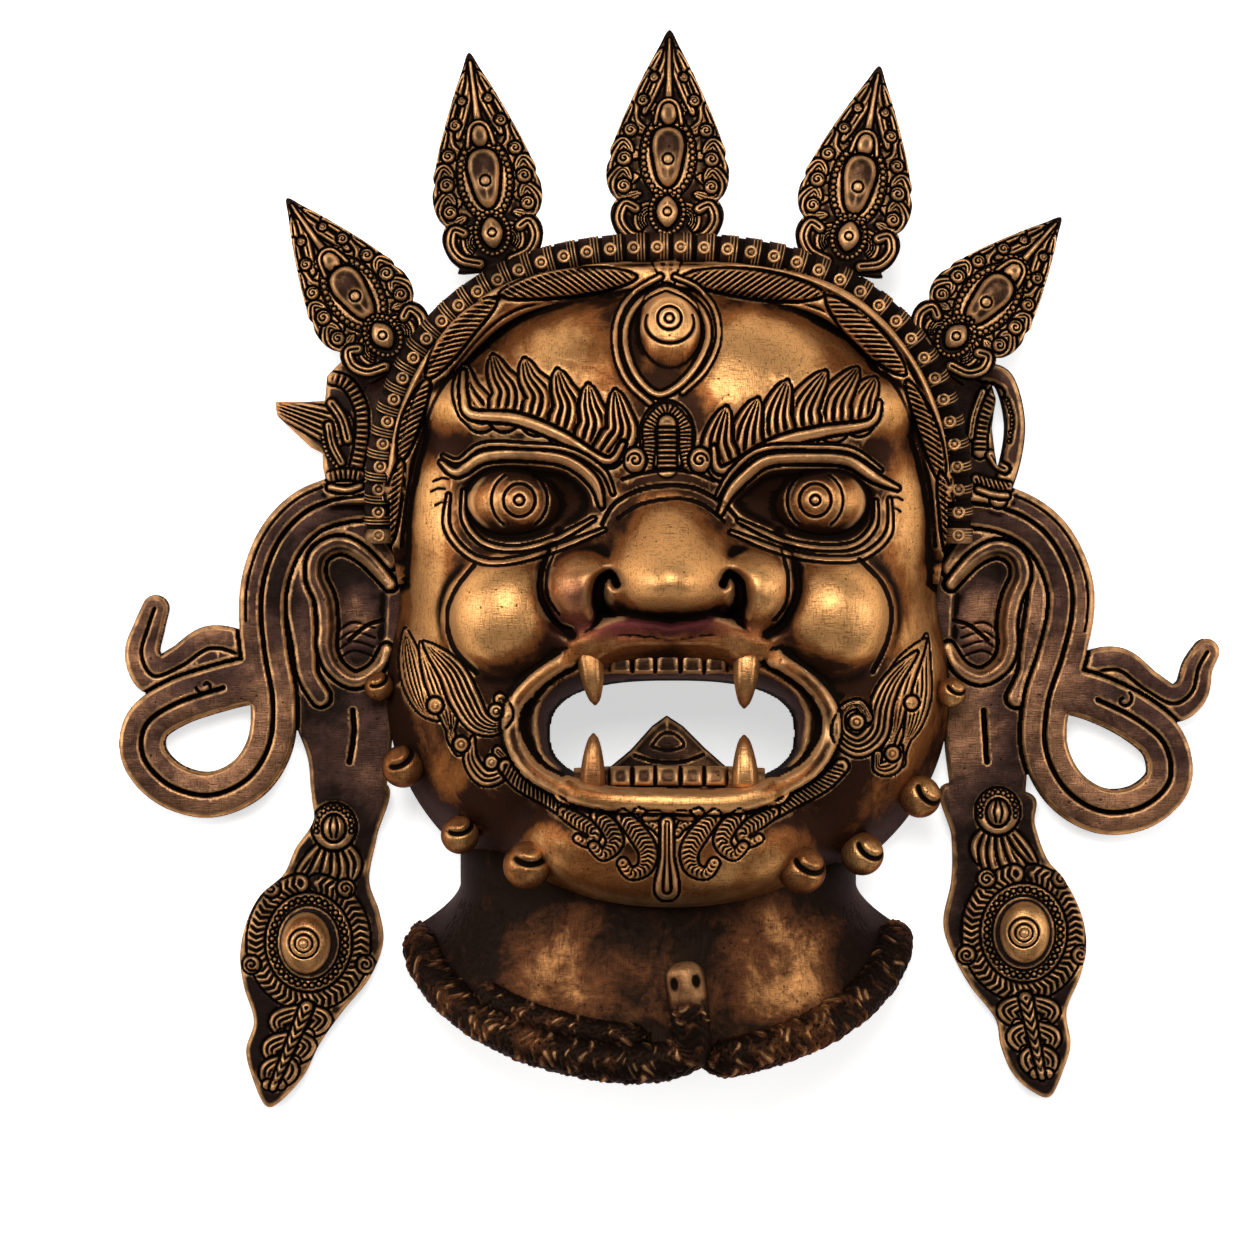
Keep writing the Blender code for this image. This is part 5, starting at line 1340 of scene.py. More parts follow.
def carve_ear(slab, side):
    outer, inner = EAR_RIDGES[side]
    shell = curve(inner + inner[:1], step=1.0)
    win, sd = slab.signed(shell, 8.0)
    slab.base[win] -= 1.6 * rise(-sd / 2.0)
    slab.stroke(outer, lambda t: 2.3 + 1.4 * np.sin(np.pi * np.clip(t * 1.1, 0, 1)), 2.9, moat=0.8, deep=1.6, crown=0.10)
    slab.stroke(inner, lambda t: 1.5 + 0.8 * np.sin(np.pi * t), 2.6, moat=0.8, deep=1.6, crown=0.12)
    x = 79.5 * side
    slab.groove([(x, -35.2), (x + 0.3, -41), (x + 0.8 * side, -48.2)], 0.75, 2.6)
    for dy in (0, 2.4, 4.8, 7.2):
        slab.groove([(x - 5.5 * side, -14.5 - dy), (x, -13 - dy), (x + 4 * side, -15.5 - dy)], 0.35, 0.35)
    slab.groove([(72 * side, -12.5), (76 * side, -13.8), (80.5 * side, -17.5)], 0.6, 0.9)


def carve_ribbon(slab, side):
    curl_path, path = CURLS[side], RIBBONS[side]
    slab.stroke(curl_path, curl_half, 2.8, moat=0.5, deep=0.6, crown=0.10)
    slab.groove(curl_path, 0.5, 1.2)
    slab.stroke(path, 5.8, 3.0, moat=0.8, deep=1.6, crown=0.08)
    slab.groove(path[:-1], 0.65, 2.2)
    centre = curve(path)
    n = len(centre)
    along = np.gradient(centre, axis=0)
    across = np.stack([-along[:, 1], along[:, 0]], 1) / np.linalg.norm(along, axis=1)[:, None]
    slab.groove(centre[8:n // 3] + across[8:n // 3] * 3.9 * side, 0.35, 0.7, smooth=False)
    knot = (-116.5, -29.0) if side < 0 else (114.5, -32.5)
    slab.groove(spiral(*knot, 0.4, 2.4, 120, 0.8 * side), 0.45, 1.0, smooth=False)


def carve_fan(slab, side):
    if side < 0:
        slab.stroke([(-84.0, 36.0), (-91, 38.6), (-98.2, 41.2)], lambda t: 4.8 - 2.6 * t, 1.6, lines=6, line_cut=0.6,
                    crown=0.2)
        slab.stroke([(-84.4, 48.4), (-80.6, 46.9), (-77.6, 41.8), (-76.9, 36.6), (-77.4, 31.0), (-78.6, 25.6)], 1.5, 1.7,
                    moat=0.6, deep=1.0, ribs=1.45, rib_cut=0.75, crown=0.3)
        slab.stroke([(-84.6, 42.0), (-82.0, 38.0), (-80.6, 33.0)], 1.2, 1.4, lines=2, crown=0.3)
        slab.stroke([(-85.4, 36.5), (-84.4, 31.5), (-82.2, 27.2)], 1.0, 1.5, lines=2, crown=0.3)
        slab.bead_line([(-87.0, 34.0), (-85.6, 29.0), (-83.0, 25.8)], 0.45, 1.2, 1.0)
        slab.stroke([(-84.8, 23.6), (-81.2, 24.2), (-77.6, 23.8)], 1.3, 1.6, ribs=1.25, rib_cut=0.75, crown=0.3)
        slab.stroke([(-85.0, 20.9), (-81, 20.2), (-77.4, 21.2)], 0.8, 1.5, moat=0.6, crown=0.3)
    else:
        slab.stroke(FAN_RING, 2.2, 1.6, moat=0.5, deep=0.8, crown=0.25)
        slab.bead_line([(84.9, 43.5), (86.4, 38), (85.6, 32)], 0.4, 1.1, 0.9)
        slab.stroke([(82.4, 44.4), (79.6, 39.4), (78.5, 34.5), (78.3, 30.0)], 1.7, 1.8, moat=0.6, deep=1.0, ribs=1.35,
                    rib_cut=0.75, crown=0.3)
        slab.stroke([(79.0, 45.0), (76.9, 39.0), (76.0, 33.6)], 0.8, 1.5, lines=2, moat=0.5, crown=0.3)
        slab.stroke([(81.2, 29.0), (83.0, 26.5), (84.6, 25.6)], 1.2, 1.2, lines=2, crown=0.3)
        slab.stroke([(77.4, 22.9), (81.0, 21.9), (85.4, 21.0)], 1.2, 1.7, ribs=1.2, slant=0.7, rib_cut=0.75, crown=0.3)
        slab.stroke([(77.8, 20.4), (81.4, 19.2), (85.0, 18.8)], 0.8, 1.5, moat=0.6, crown=0.3)


def carve_pendant(slab, side):
    gx, gy = (-90.6, -93.6) if side < 0 else (89.5, -91.2)
    tip = (-100.6, -132.6) if side < 0 else (94.6, -129.8)
    bx, by = (-84.2, -64.6) if side < 0 else (83.0, -60.7)
    out = side
    # shoulders: leaves from the bud down to the ring
    for dx, reach in ((-7.0, 9.0), (-4.4, 12.5), (-1.6, 14.8), (1.6, 14.8), (4.4, 13.0), (7.0, 9.5)):
        path = [(bx + dx * 0.35, by - 4.0), (bx + dx * 0.8 + out * 0.4, by - 4 - reach * 0.5),
                (bx + dx * 1.0 + out * (1.6 + 0.1 * reach), by - 4 - reach)]
        slab.stroke(path, taper(1.7, 0.4), 1.7, moat=0.5, deep=0.9, lines=2, line_cut=0.5, crown=0.3)
    # ribs and scrolls round the ring
    ring = oval(gx, gy, 13.2, 15.0, 0, 100, 340, 120)
    slab.stroke(ring, 2.3, 1.5, moat=0.5, deep=0.9, ribs=1.7, chevron=0.5, rib_cut=0.7, crown=0.3, smooth=False)
    for k in range(9):
        a = math.radians(90 + 38 + 284 * k / 8)
        if k % 2 == 0:
            x, y = gx + 15.2 * math.cos(a), gy + 17.2 * math.sin(a)
            turn = 1.3 if k % 4 else -1.3
            slab.dome(x, y, 2.2, 2.2, 1.7, moat=0.5, deep=0.9)
            slab.groove(spiral(x, y, 0.3, 1.7, math.degrees(a), turn), 0.32, 1.0, smooth=False)
    slab.pillow(oval(gx, gy, 10.8, 12.4), 1.6, edge=1.2, moat=0.5, deep=0.9, smooth=False)
    slab.bead_line(oval(gx, gy, 9.3, 10.9, 0, 90, 360, 70), 0.66, 1.75, 1.3, smooth=False)
    slab.groove(oval(gx, gy, 8.1, 9.5), 0.45, 0.8, smooth=False)
    # the tail's nested petals
    foot = (gx - 1.0 * (side < 0) + 0.5, gy - 16.5)
    for k, (across, share) in enumerate(((-5.4, 0.30), (5.4, 0.30), (-4.4, 0.60), (4.4, 0.60), (-2.6, 0.86), (2.6, 0.86))):
        start = (foot[0] + (tip[0] - foot[0]) * (share - 0.28), foot[1] + (tip[1] - foot[1]) * (share - 0.28))
        end = (foot[0] + (tip[0] - foot[0]) * share + across * 0.62, foot[1] + (tip[1] - foot[1]) * share)
        middle = ((start[0] + end[0]) / 2 + across * 0.75, (start[1] + end[1]) / 2 + 0.6)
        slab.stroke([start, middle, end], taper(2.1, 0.6), 1.7, moat=0.5, deep=0.9, lines=3, line_cut=0.5, crown=0.3)
        slab.dome(end[0], end[1], 1.3, 1.3, 1.6, moat=0.4, deep=0.8, rings=((0.5, 0.3, 0.5),))
    slab.stroke([foot, (foot[0] * 0.6 + tip[0] * 0.4, foot[1] * 0.6 + tip[1] * 0.4), (foot[0] * 0.1 + tip[0] * 0.9,
                 foot[1] * 0.1 + tip[1] * 0.9)], lambda t: 1.7 - 0.9 * t, 2.0, moat=0.5, deep=0.9, ribs=2.3, chevron=1.4,
                rib_cut=0.5, crown=0.3)
    # the bud on the ear lobe
    slab.pillow(oval(bx, by, 5.4, 5.8), 1.2, edge=1.4, moat=0.6, deep=1.0, smooth=False)
    slab.bead_line(oval(bx, by, 4.5, 4.9, 0, -20, 220, 30), 0.5, 1.35, 1.1, smooth=False)
    slab.dome(bx, by - 0.3, 2.8, 3.3, 2.6, moat=0.5, deep=0.9)
    for dx in (-1.0, 1.0):
        slab.groove([(bx + dx * 0.4, by + 2.6), (bx + dx, by), (bx + dx * 0.5, by - 2.6)], 0.35, 0.9)


# how much lighter or darker than the rest: the lobe, the ribbon's lower bend, the pendant, the fan, the ear's hollow
SIDE_RUBBED = (
    (79, -44, 10, 14, 0.45), (100, -40, 8, 22, 0.45), (112, -58, 16, 7, 0.35), (90, -96, 20, 32, -0.55),
    (98, -124, 10, 14, -0.45), (85, 36, 16, 15, -0.55), (84, -66, 14, 8, -0.35), (80, -16, 6, 12, 0.30),
    (80, 2, 6, 6, -0.30), (79, -11, 6, 9, 0.45), (96, 0, 8, 12, -0.25), (118, -28, 16, 6, -0.10), (92, -12, 3, 18, 0.25),
)
SIDES = {"side_left": -1, "side_right": 1}
GEMS = {"side_left": (-91.2, -93.7), "side_right": (89.7, -91.0)}
for name, side in SIDES.items():
    slab = plain_side(side)
    carve_ear(slab, side)
    carve_ribbon(slab, side)
    carve_fan(slab, side)
    carve_pendant(slab, side)
    hammered(slab, 0.9, 0.05, seed=3)
    hammered(slab, 2.6, 0.12, seed=4)
    wear_and_light = rub(slab, valley=0.4)
    lobe = painted(slab.X * side, slab.Y, SIDE_RUBBED)
    wear_and_light["polish_and_painted_light"] = np.clip(wear_and_light["polish_and_painted_light"] + lobe, 0, 1.2)
    PIECES.append((cast(name, slab, 0.32, lambda x, y: 1.25 + 0 * x, 92000, round_edge=0.9, wear_and_light=wear_and_light), "side"))

# %% The pendants' domed stones
for name, (gx, gy) in GEMS.items():
    stone = Relief(gx - 8, gx + 8, gy - 10, gy + 10, cell=0.15)
    win, sd = stone.signed(oval(gx, gy, 6.5, 8.0), 9.0)
    stone.sd[win] = sd
    q = np.hypot((stone.X - gx) / 6.5, (stone.Y - gy) / 8.0)
    stone.base = 7.4 + 5.2 * np.sqrt(np.clip(1 - q * q, 0, 1))
    stone.dome(gx - 0.4, gy, 2.0, 2.0, 1.5, moat=0.5, deep=0.5)
    for radius in (3.7, 1.2):
        stone.groove(oval(gx - 0.4, gy, radius, radius), 0.36, 0.7, smooth=False)
    PIECES.append((cast(name.replace("side", "stone"), stone, 0.28, lambda x, y: 6.0 + 0 * x, 8000), "bright"))

# %% [markdown]
# ## Neck and snake
# The collar is a surface of revolution that has been squashed and bent forwards, so a grid of angle and length fits
# it better than a height map. The snake that lies on its rim is a tube along a path, and its scales are a pattern in
# the tube's own length and angle.

# %% The neck
NECK_X, COLLAR_Y, COLLAR_RADIUS, COLLAR_DIP = -2.5, -89.5, 60.8, 32.0
WAIST_Y, WAIST_RADIUS, NECK_FLAT = -79.0, 50.0, 0.80


def neck_point(angle, s, inset=0.0):
    """A point of the neck from its angle and its share of the way from under the chin to the rim."""
    y = -58.0 + (COLLAR_Y + 58.0) * s
    along = np.clip((WAIST_Y - y) / (WAIST_Y - COLLAR_Y), 0, None)
    radius = WAIST_RADIUS + (COLLAR_RADIUS - WAIST_RADIUS) * along ** 1.6 - inset
    z = radius * NECK_FLAT * np.sin(angle)
    return np.stack([NECK_X + radius * np.cos(angle), y - COLLAR_DIP * along * z / (COLLAR_RADIUS * NECK_FLAT), z], -1)


across, down = 420, 120
s_rows = 1 - (1 - np.linspace(0.25, 1, down)) ** 1.25
angle, s = np.meshgrid(np.linspace(0, math.pi, across), s_rows)
rng = np.random.default_rng(11)
dashes = np.zeros_like(angle)
for _ in range(1100):
    a, t = rng.uniform(0.25, 2.9), rng.uniform(0.74, 0.985)
    lean, long = rng.choice((0.0, 0.0, 1.5)) + rng.uniform(-0.25, 0.25), rng.uniform(0.012, 0.040)
    u, v = (angle - a), (s - t) * 1.6
    p, q = u * math.cos(lean) + v * math.sin(lean), -u * math.sin(lean) + v * math.cos(lean)
    dashes = np.maximum(dashes, np.clip(1 - (p / long) ** 2, 0, 1) * np.clip(1 - (q / 0.005) ** 2, 0, 1))
outer, inside = neck_point(angle, s, 0.20 * dashes), neck_point(angle, s, WALL)
inside[..., 2] = np.maximum(inside[..., 2], 0)
n = outer.shape[0] * outer.shape[1]
index = np.arange(n).reshape(outer.shape[:2])
a, b, c, e = index[:-1, :-1], index[:-1, 1:], index[1:, 1:], index[1:, :-1]
top = np.stack([a, b, c, e], -1).reshape(-1, 4)
under = top[:, ::-1] + n
edges = []
for line, way in ((index[0], 1), (index[:, -1], 1), (index[-1, ::-1], 1), (index[::-1, 0], 1)):
    p, q = line[:-1], line[1:]
    edges.append(np.stack([p, p + n, q + n, q], -1))
# painted highlights: two bright bands down the flared collar at set angles, fading near the rim; the neck is also made
# darker towards the chin and at the rim
painted_highlight = 0.75 * np.exp(-((angle - 0.95) / 0.30) ** 2) + 0.72 * np.exp(-((angle - 2.05) / 0.40) ** 2)
tone = {"hollow": 0.16 * dashes + 0.3 * rise((s - 0.985) / 0.02) + 0.16 * (1 - rise((s - 0.60) / 0.25)),
        "worn": 0.0 * s,
        "polish_and_painted_light": 0.22 + 0.80 * painted_highlight * rise((s - 0.60) / 0.26) * (1 - rise((s - 0.90) / 0.10))}
fields = {key: np.r_[np.clip(value, 0, 1).ravel(), np.full(n, 0.4 if key == "hollow" else 0.1)] for key, value in tone.items()}
PIECES.append((mesh_object("neck", np.r_[outer.reshape(-1, 3), inside.reshape(-1, 3)], np.vstack([top, under] + edges),
                           fields, 44000), "neck"))

# %% The snake on the rim


def swept(name, path, radius, around=60, step=0.36, budget=None, seed=3, headed=False):
    """A scaled tube along a path. radius is a function of the share of the way along."""
    line = curve(path, step=step)
    run = np.r_[0, np.cumsum(np.linalg.norm(np.diff(line, axis=0), axis=1))]
    length = run[-1]
    ahead = np.gradient(line, axis=0)
    ahead /= np.linalg.norm(ahead, axis=1)[:, None]
    side = np.cross(ahead, (0.0, -0.35, 1.0))
    side /= np.linalg.norm(side, axis=1)[:, None]
    lift = np.cross(side, ahead)
    t, v = np.meshgrid(run, np.linspace(0, 2 * math.pi, around, endpoint=False), indexing="ij")
    size = radius(t / length)
    girth = 2 * math.pi * 4.4
    row = (t + 0.8 * np.sin(v * 4) + 0.5 * np.sin(t * 0.8)) / 1.7
    col = v / (2 * math.pi) * round(girth / 3.3) + 0.5 * (np.floor(row) % 2) + 0.2 * np.sin(t * 1.3)
    fr, fc = row - np.floor(row) - 0.5, col - np.floor(col) - 0.5
    rng = np.random.default_rng(seed)
    table = rng.random((400, 40))
    luck = table[np.floor(row).astype(int) % 400, np.floor(col).astype(int) % 40]
    scale = np.clip(1 - (fr / 0.5) ** 2, 0, 1) ** 0.5 * np.clip(1 - (np.abs(fc) / 0.48) ** 3, 0, 1) ** 0.5
    head = rise((t / length - 0.90) / 0.03) if headed else 0 * t
    eyes = head * np.exp(-((t / length - 0.958) / 0.011) ** 2 - ((np.abs(np.cos(v)) - 0.55) / 0.16) ** 2) * (np.sin(v) > 0)
    bump = np.maximum(scale * (0.35 + 0.5 * luck) * (1 - head), 0.4 * head) - 0.5 * eyes
    points = line[:, None] + (size + bump - 0.4)[..., None] * (np.cos(v)[..., None] * side[:, None]
                                                                + np.sin(v)[..., None] * lift[:, None])
    points[..., 2] = np.maximum(points[..., 2], 0.05)
    n = points.shape[0] * around
    index = np.arange(n).reshape(points.shape[:2])
    nxt = np.roll(index, -1, axis=1)
    quads = np.stack([index[:-1], index[1:], nxt[1:], nxt[:-1]], -1).reshape(-1, 4)
    ends = [np.stack([np.full(around // 2, ring[0]), ring[1::2], np.roll(ring, -1)[1::2], np.roll(ring, -2)[1::2]], -1)[:-1]
            for ring in (index[0], index[-1][::-1])]
    brow = head * np.clip(0.2 + 1.2 * np.sin(v), 0, 1)
    fields = {"hollow": np.clip(0.45 - 1.4 * scale, 0, 0.45) * (1 - head) + 0.9 * eyes,
              "worn": np.clip((scale - 0.58) * (3.2 * luck - 0.8), 0, 0.95) * (1 - head) + 0.75 * brow * (1 - eyes),
              "polish_and_painted_light": (0.16 + 0.40 * luck) * (1 - head) + 0.75 * brow}
    fields = {key: value.ravel() for key, value in fields.items()}
    obj = mesh_object(name, points.reshape(-1, 3), np.vstack([quads] + ends), fields)
    tidy = bmesh.new()
    tidy.from_mesh(obj.data)
    bmesh.ops.recalc_face_normals(tidy, faces=tidy.faces)
    tidy.to_mesh(obj.data)
    tidy.free()
    if budget and len(quads) * 2 > budget:
        obj.modifiers.new("Fewer faces", "DECIMATE").ratio = budget / len(quads) / 2
        bake(obj)
    return obj


def on_rim(deg, inset, drop):
    a = math.radians(deg)
    across, deep = COLLAR_RADIUS - 0.5 - inset, 49.0 - inset
    return (NECK_X + across * math.cos(a), COLLAR_Y - COLLAR_DIP * math.sin(a) - drop, deep * math.sin(a))


def body(full, head=0.0):
    """The snake's radius along its length: a thin tail, and a thin neck end or a blunt head."""
    def size(t):
        thin = full * np.clip(0.35 + np.sin(np.pi * t) * 3.0, 0.35, 1)
        blunt = full * np.clip(1 - (np.clip(t - 0.975, 0, 1) / 0.026) ** 2, 0.1, 1) ** 0.5
        return np.where(t > 0.5, blunt + head * np.exp(-((t - 0.955) / 0.035) ** 2), thin) if head else thin
    return size


SNAKE_LEFT = [on_rim(180 - 11 * i, 0.0, 0.5) for i in range(8)] + [(-6.0, -121.5, 49.5), (4.5, -118.5, 51.0),
                                                                   (5.0, -110.0, 52.5), (4.0, -101.0, 52.0), (3.2, -96.5, 51.5)]
SNAKE_RIGHT = [on_rim(11 * i, 0.5, 0.0) for i in range(8)] + [(8.0, -119.0, 48.0)]
SNAKE_SECOND = [on_rim(140 - 8 * i, 1.5, -6.0) for i in range(7)]
for name, path, full, head, budget in (
    ("snake_left", SNAKE_LEFT, 4.9, 0.2, 38000), ("snake_right", SNAKE_RIGHT, 4.9, 0.0, 24000),
    ("snake_second", SNAKE_SECOND, 3.6, 0.0, 12000),
):
    PIECES.append((swept(name, path, body(full, head), budget=budget, seed=len(name), headed=head > 0), "neck"))

# %% [markdown]
# ## Old bronze
# One material family is used for the whole casting. The stored maps drive it: hollows turn to black-brown patina with
# little metal left, worn edges turn to bright rubbed bronze. Cloudy noise breaks up the brown between, and fine
# scratches and casting pits are added as bump, in object coordinates, so they don't stretch anywhere.

# %% The bronze material
EDGE = (0.64, 0.345, 0.150)


def bronze(name, bright, middle, dark, polish, gloss=0.3, edge=1.0):
    """Cast bronze. polish is how much of it is rubbed bright where nothing else says so, edge how bright its edges are."""
    mat = bpy.data.materials.new(name)
    mat.use_nodes = True
    nodes, links = mat.node_tree.nodes, mat.node_tree.links
    shader = nodes["Principled BSDF"]

    def node(kind, **inputs):
        made = nodes.new(kind)
        for key, value in inputs.items():
            made.inputs[key.replace("_", " ")].default_value = value
        return made

    def wire(source, target):
        links.new(source, target)

    def maths(operation, a, b, clamp=False):
        made = nodes.new("ShaderNodeMath")
        made.operation, made.use_clamp = operation, clamp
        for i, value in enumerate((a, b)):
            if isinstance(value, (int, float)):
                made.inputs[i].default_value = value
            else:
                wire(value, made.inputs[i])
        return made.outputs[0]

    def ramp(source, low, high):
        made = nodes.new("ShaderNodeMapRange")
        made.interpolation_type = "SMOOTHSTEP"
        made.inputs["From Min"].default_value, made.inputs["From Max"].default_value = low, high
        wire(source, made.inputs["Value"])
        return made.outputs["Result"]

    def mix(share, a, b):
        made = nodes.new("ShaderNodeMix")
        made.data_type = "RGBA"
        if isinstance(share, float):
            made.inputs[0].default_value = share
        else:
            wire(share, made.inputs[0])
        for socket, value in ((made.inputs[6], a), (made.inputs[7], b)):
            if isinstance(value, tuple):
                socket.default_value = (*value, 1.0)
            else:
                wire(value, socket)
        return made.outputs[2]

    place = nodes.new("ShaderNodeTexCoord").outputs["Object"]

    def noise(scale, detail, rough=0.55, distort=0.0, at=place):
        made = node("ShaderNodeTexNoise", Scale=scale, Detail=detail, Roughness=rough, Distortion=distort)
        wire(at, made.inputs["Vector"])
        return made.outputs["Fac"]

    def attribute(key):
        made = nodes.new("ShaderNodeAttribute")
        made.attribute_name = key
        return made.outputs["Fac"]

    hollow, worn, polish_and_painted_light = attribute("hollow"), attribute("worn"), attribute("polish_and_painted_light")
    clouds = noise(42.0, 6.0, 0.62, 0.6)
    broad = noise(16.0, 3.0, 0.5)
    stain = noise(150.0, 5.0, 0.7, 1.2)
    # the third stored value is rubbed polish, and on the face and the neck it also carries painted highlights and
    # painted shade
    wear_and_light = maths("ADD", polish_and_painted_light, polish)
    wear_and_light = maths("ADD", wear_and_light, maths("MULTIPLY", maths("SUBTRACT", clouds, 0.5), 1.7))
    wear_and_light = maths("ADD", wear_and_light, maths("MULTIPLY", maths("SUBTRACT", broad, 0.5), 0.8))
    wear_and_light = maths("ADD", wear_and_light, maths("MULTIPLY", maths("SUBTRACT", stain, 0.5), 0.6), clamp=True)
    colour = mix(ramp(wear_and_light, 0.05, 0.5), dark, middle)
    colour = mix(ramp(wear_and_light, 0.45, 1.0), colour, bright)
    hatching = []
    for scale, turn in (((3400.0, 420.0, 1200.0), 0.7), ((420.0, 3000.0, 1200.0), 0.25)):
        stretch = node("ShaderNodeMapping", Scale=scale, Rotation=(0.0, 0.0, turn))
        wire(place, stretch.inputs["Vector"])
        hatching.append(noise(1.0, 2.0, 0.5, 0.3, stretch.outputs[0]))
    hatch = maths("MINIMUM", *hatching)
    pits = nodes.new("ShaderNodeTexVoronoi")
    pits.inputs["Scale"].default_value = 380.0
    wire(place, pits.inputs["Vector"])
    pit = maths("MAXIMUM", ramp(pits.outputs["Distance"], 0.05, 0.17), ramp(noise(90.0, 2.0), 0.47, 0.53))
    tired = maths("MULTIPLY", maths("SUBTRACT", 1.0, ramp(hatch, 0.30, 0.46)), 0.50)
    tired = maths("MAXIMUM", tired, maths("MULTIPLY", maths("SUBTRACT", 1.0, pit), 0.85))
    colour = mix(tired, colour, dark)
    colour = mix(maths("MULTIPLY", attribute("wine"), 0.8), colour, (0.13, 0.022, 0.030))
    broken = ramp(maths("ADD", noise(260.0, 3.0, 0.6), maths("MULTIPLY", clouds, 0.5)), 0.52, 0.92)
    lit = maths("MULTIPLY", ramp(worn, 0.45, 1.25), maths("ADD", maths("MULTIPLY", broken, 0.85), edge - 0.6), clamp=True)
    colour = mix(lit, colour, EDGE)
    black = ramp(hollow, 0.02, 0.36)
    colour = mix(black, colour, (0.0042, 0.0025, 0.0018))
    wire(colour, shader.inputs["Base Color"])
    shine = maths("MAXIMUM", ramp(wear_and_light, 0.2, 0.8), lit)
    metal = maths("SUBTRACT", maths("ADD", maths("MULTIPLY", shine, 0.30), 0.52), maths("MULTIPLY", black, 0.2), clamp=True)
    wire(metal, shader.inputs["Metallic"])
    rough = maths("ADD", maths("MULTIPLY", clouds, 0.22), gloss - 0.02)
    rough = maths("ADD", rough, maths("MULTIPLY", black, 0.30))
    rough = maths("SUBTRACT", rough, maths("MULTIPLY", shine, 0.10), clamp=True)
    wire(rough, shader.inputs["Roughness"])
    shader.inputs["Specular IOR Level"].default_value = 0.08
    shader.inputs["Specular Tint"].default_value = (0.55, 0.30, 0.16, 1.0)

    grain = noise(700.0, 4.0, 0.6)
    relief = maths("ADD", maths("MULTIPLY", maths("ADD", *hatching), 0.55), maths("MULTIPLY", pit, 0.6))
    relief = maths("ADD", relief, maths("MULTIPLY", grain, 0.30))
    relief = maths("ADD", relief, maths("MULTIPLY", stain, 0.45))
    bump = node("ShaderNodeBump", Strength=0.6, Distance=0.00022)
    wire(relief, bump.inputs["Height"])
    wire(bump.outputs["Normal"], shader.inputs["Normal"])
    return mat


FACE_BRONZE = bronze("face_bronze", (0.62, 0.310, 0.112), (0.220, 0.076, 0.022), (0.022, 0.0088, 0.0048), -0.08, 0.42, 1.1)
TRIM_BRONZE = bronze("trim_bronze", (0.24, 0.118, 0.052), (0.030, 0.0140, 0.0092), (0.0075, 0.0046, 0.0036), -0.28, 0.42, 1.05)
SIDE_BRONZE = bronze("side_bronze", (0.22, 0.105, 0.055), (0.052, 0.0255, 0.0195), (0.0115, 0.0070, 0.0060), -0.14, 0.44, 0.9)
NECK_BRONZE = bronze("neck_bronze", (0.50, 0.230, 0.080), (0.080, 0.029, 0.0115), (0.0085, 0.0048, 0.0034), -0.18, 0.42, 0.8)
BRIGHT_BRONZE = bronze("bright_bronze", (0.60, 0.310, 0.115), (0.20, 0.072, 0.023), (0.030, 0.012, 0.0065), 0.0, 0.36)


def dress(obj, material):
    obj.data.materials.clear()
    obj.data.materials.append(material)
    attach(obj, "root")
    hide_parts("mask")
    return obj


# %% Dress every piece
MATERIALS = {"face": FACE_BRONZE, "trim": TRIM_BRONZE, "side": SIDE_BRONZE, "neck": NECK_BRONZE, "bright": BRIGHT_BRONZE}
for obj, material in PIECES:
    dress(obj, MATERIALS[material])
total = sum(sum(len(p.vertices) - 2 for p in obj.data.polygons) for obj, _ in PIECES)
print(len(PIECES), "pieces,", total, "triangles")

# %% [markdown]
# ## The studio
# The mask lies on its back on a pale floor, and the camera looks straight down on it through a long lens, as the
# photograph looks straight at it. Large soft lamps stand around it, because polished metal shows what it reflects:
# a broad lamp on each side gives the wide highlights of the forehead and cheeks.

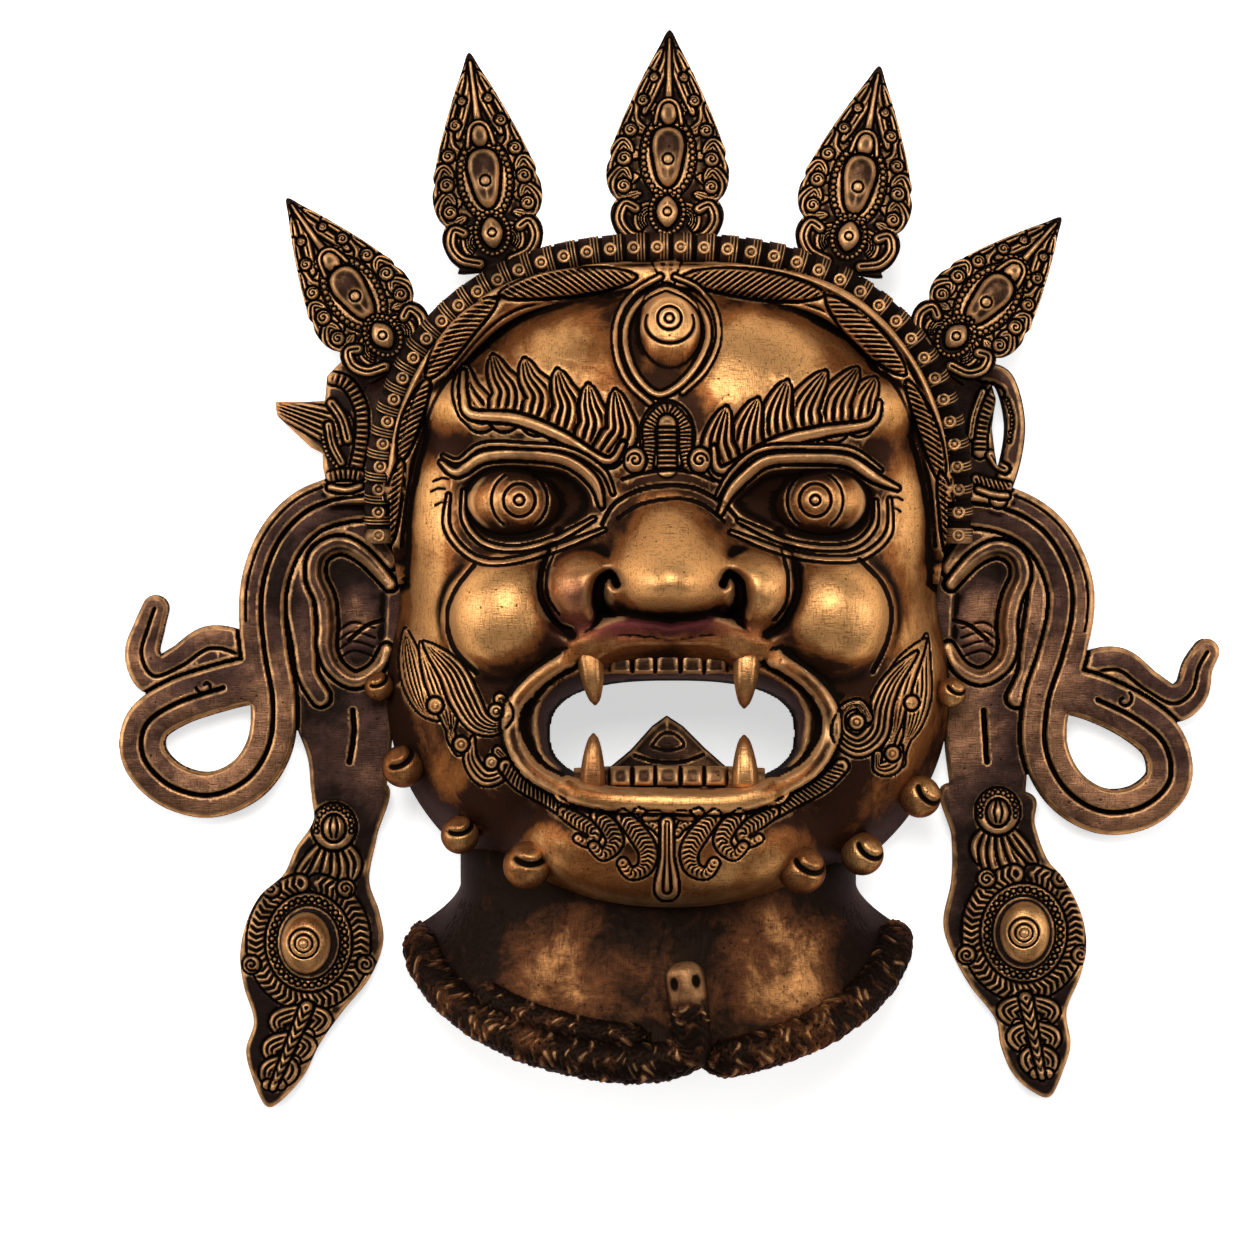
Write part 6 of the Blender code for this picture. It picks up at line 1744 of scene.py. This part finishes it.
# %% Floor, lamps and camera
scene = bpy.context.scene
floor_mesh = bpy.data.meshes.new("floor")
floor_mesh.from_pydata([(-3, -3, 0), (3, -3, 0), (3, 3, 0), (-3, 3, 0)], [], [(0, 1, 2, 3)])
floor = bpy.data.objects.new("floor", floor_mesh)
scene.collection.objects.link(floor)
floor.location.z = LOW.z - 0.0004
paper = bpy.data.materials.new("paper")
paper.use_nodes = True
paper.node_tree.nodes["Principled BSDF"].inputs["Base Color"].default_value = (0.92, 0.92, 0.915, 1)
paper.node_tree.nodes["Principled BSDF"].inputs["Roughness"].default_value = 0.9
paper.node_tree.nodes["Principled BSDF"].inputs["Emission Color"].default_value = (1, 1, 1, 1)
paper.node_tree.nodes["Principled BSDF"].inputs["Emission Strength"].default_value = 0.62
floor_mesh.materials.append(paper)


def lamp(name, at, size, watts, target=(0, 0, 0.03), colour=(1, 1, 1), tall=None):
    data = bpy.data.lights.new(name, "AREA")
    data.shape, data.size, data.size_y = "RECTANGLE", size, tall or size
    data.energy, data.color = watts, colour
    obj = bpy.data.objects.new(name, data)
    obj.location = at
    obj.rotation_euler = (Vector(target) - Vector(at)).to_track_quat("-Z", "Y").to_euler()
    scene.collection.objects.link(obj)


lamp("key", (-0.06, 0.50, 1.05), 0.66, 13.0, colour=(1.0, 0.985, 0.96))
lamp("left", (-0.95, 0.15, 0.45), 0.60, 7.0, colour=(1.0, 0.985, 0.97))
lamp("right", (0.95, 0.12, 0.50), 0.60, 5.6, colour=(1.0, 0.985, 0.97))
lamp("chin", (0.05, -0.95, 0.60), 0.70, 1.3)
world = bpy.data.worlds.new("studio")
world.use_nodes = True
world.node_tree.nodes["Background"].inputs["Color"].default_value = (1.0, 1.0, 1.0, 1)
world.node_tree.nodes["Background"].inputs["Strength"].default_value = 0.035
scene.world = world
scene.view_settings.view_transform = "Standard"

lens = bpy.data.cameras.new("camera")
lens.lens, lens.sensor_width, lens.clip_end = 200.0, 36.0, 20.0
camera = bpy.data.objects.new("camera", lens)
FRAME_WIDE, FRAME_CENTRE = 311.7 * MM, (-10.4, -14.2)
camera.location = ((FRAME_CENTRE[0] - DRAWN_CENTRE[0]) * MM + PLAN_CENTRE.x,
                   (FRAME_CENTRE[1] - DRAWN_CENTRE[1]) * MM + PLAN_CENTRE.y,
                   LOW.z + 0.03 + FRAME_WIDE * lens.lens / lens.sensor_width)
scene.collection.objects.link(camera)
scene.camera = camera
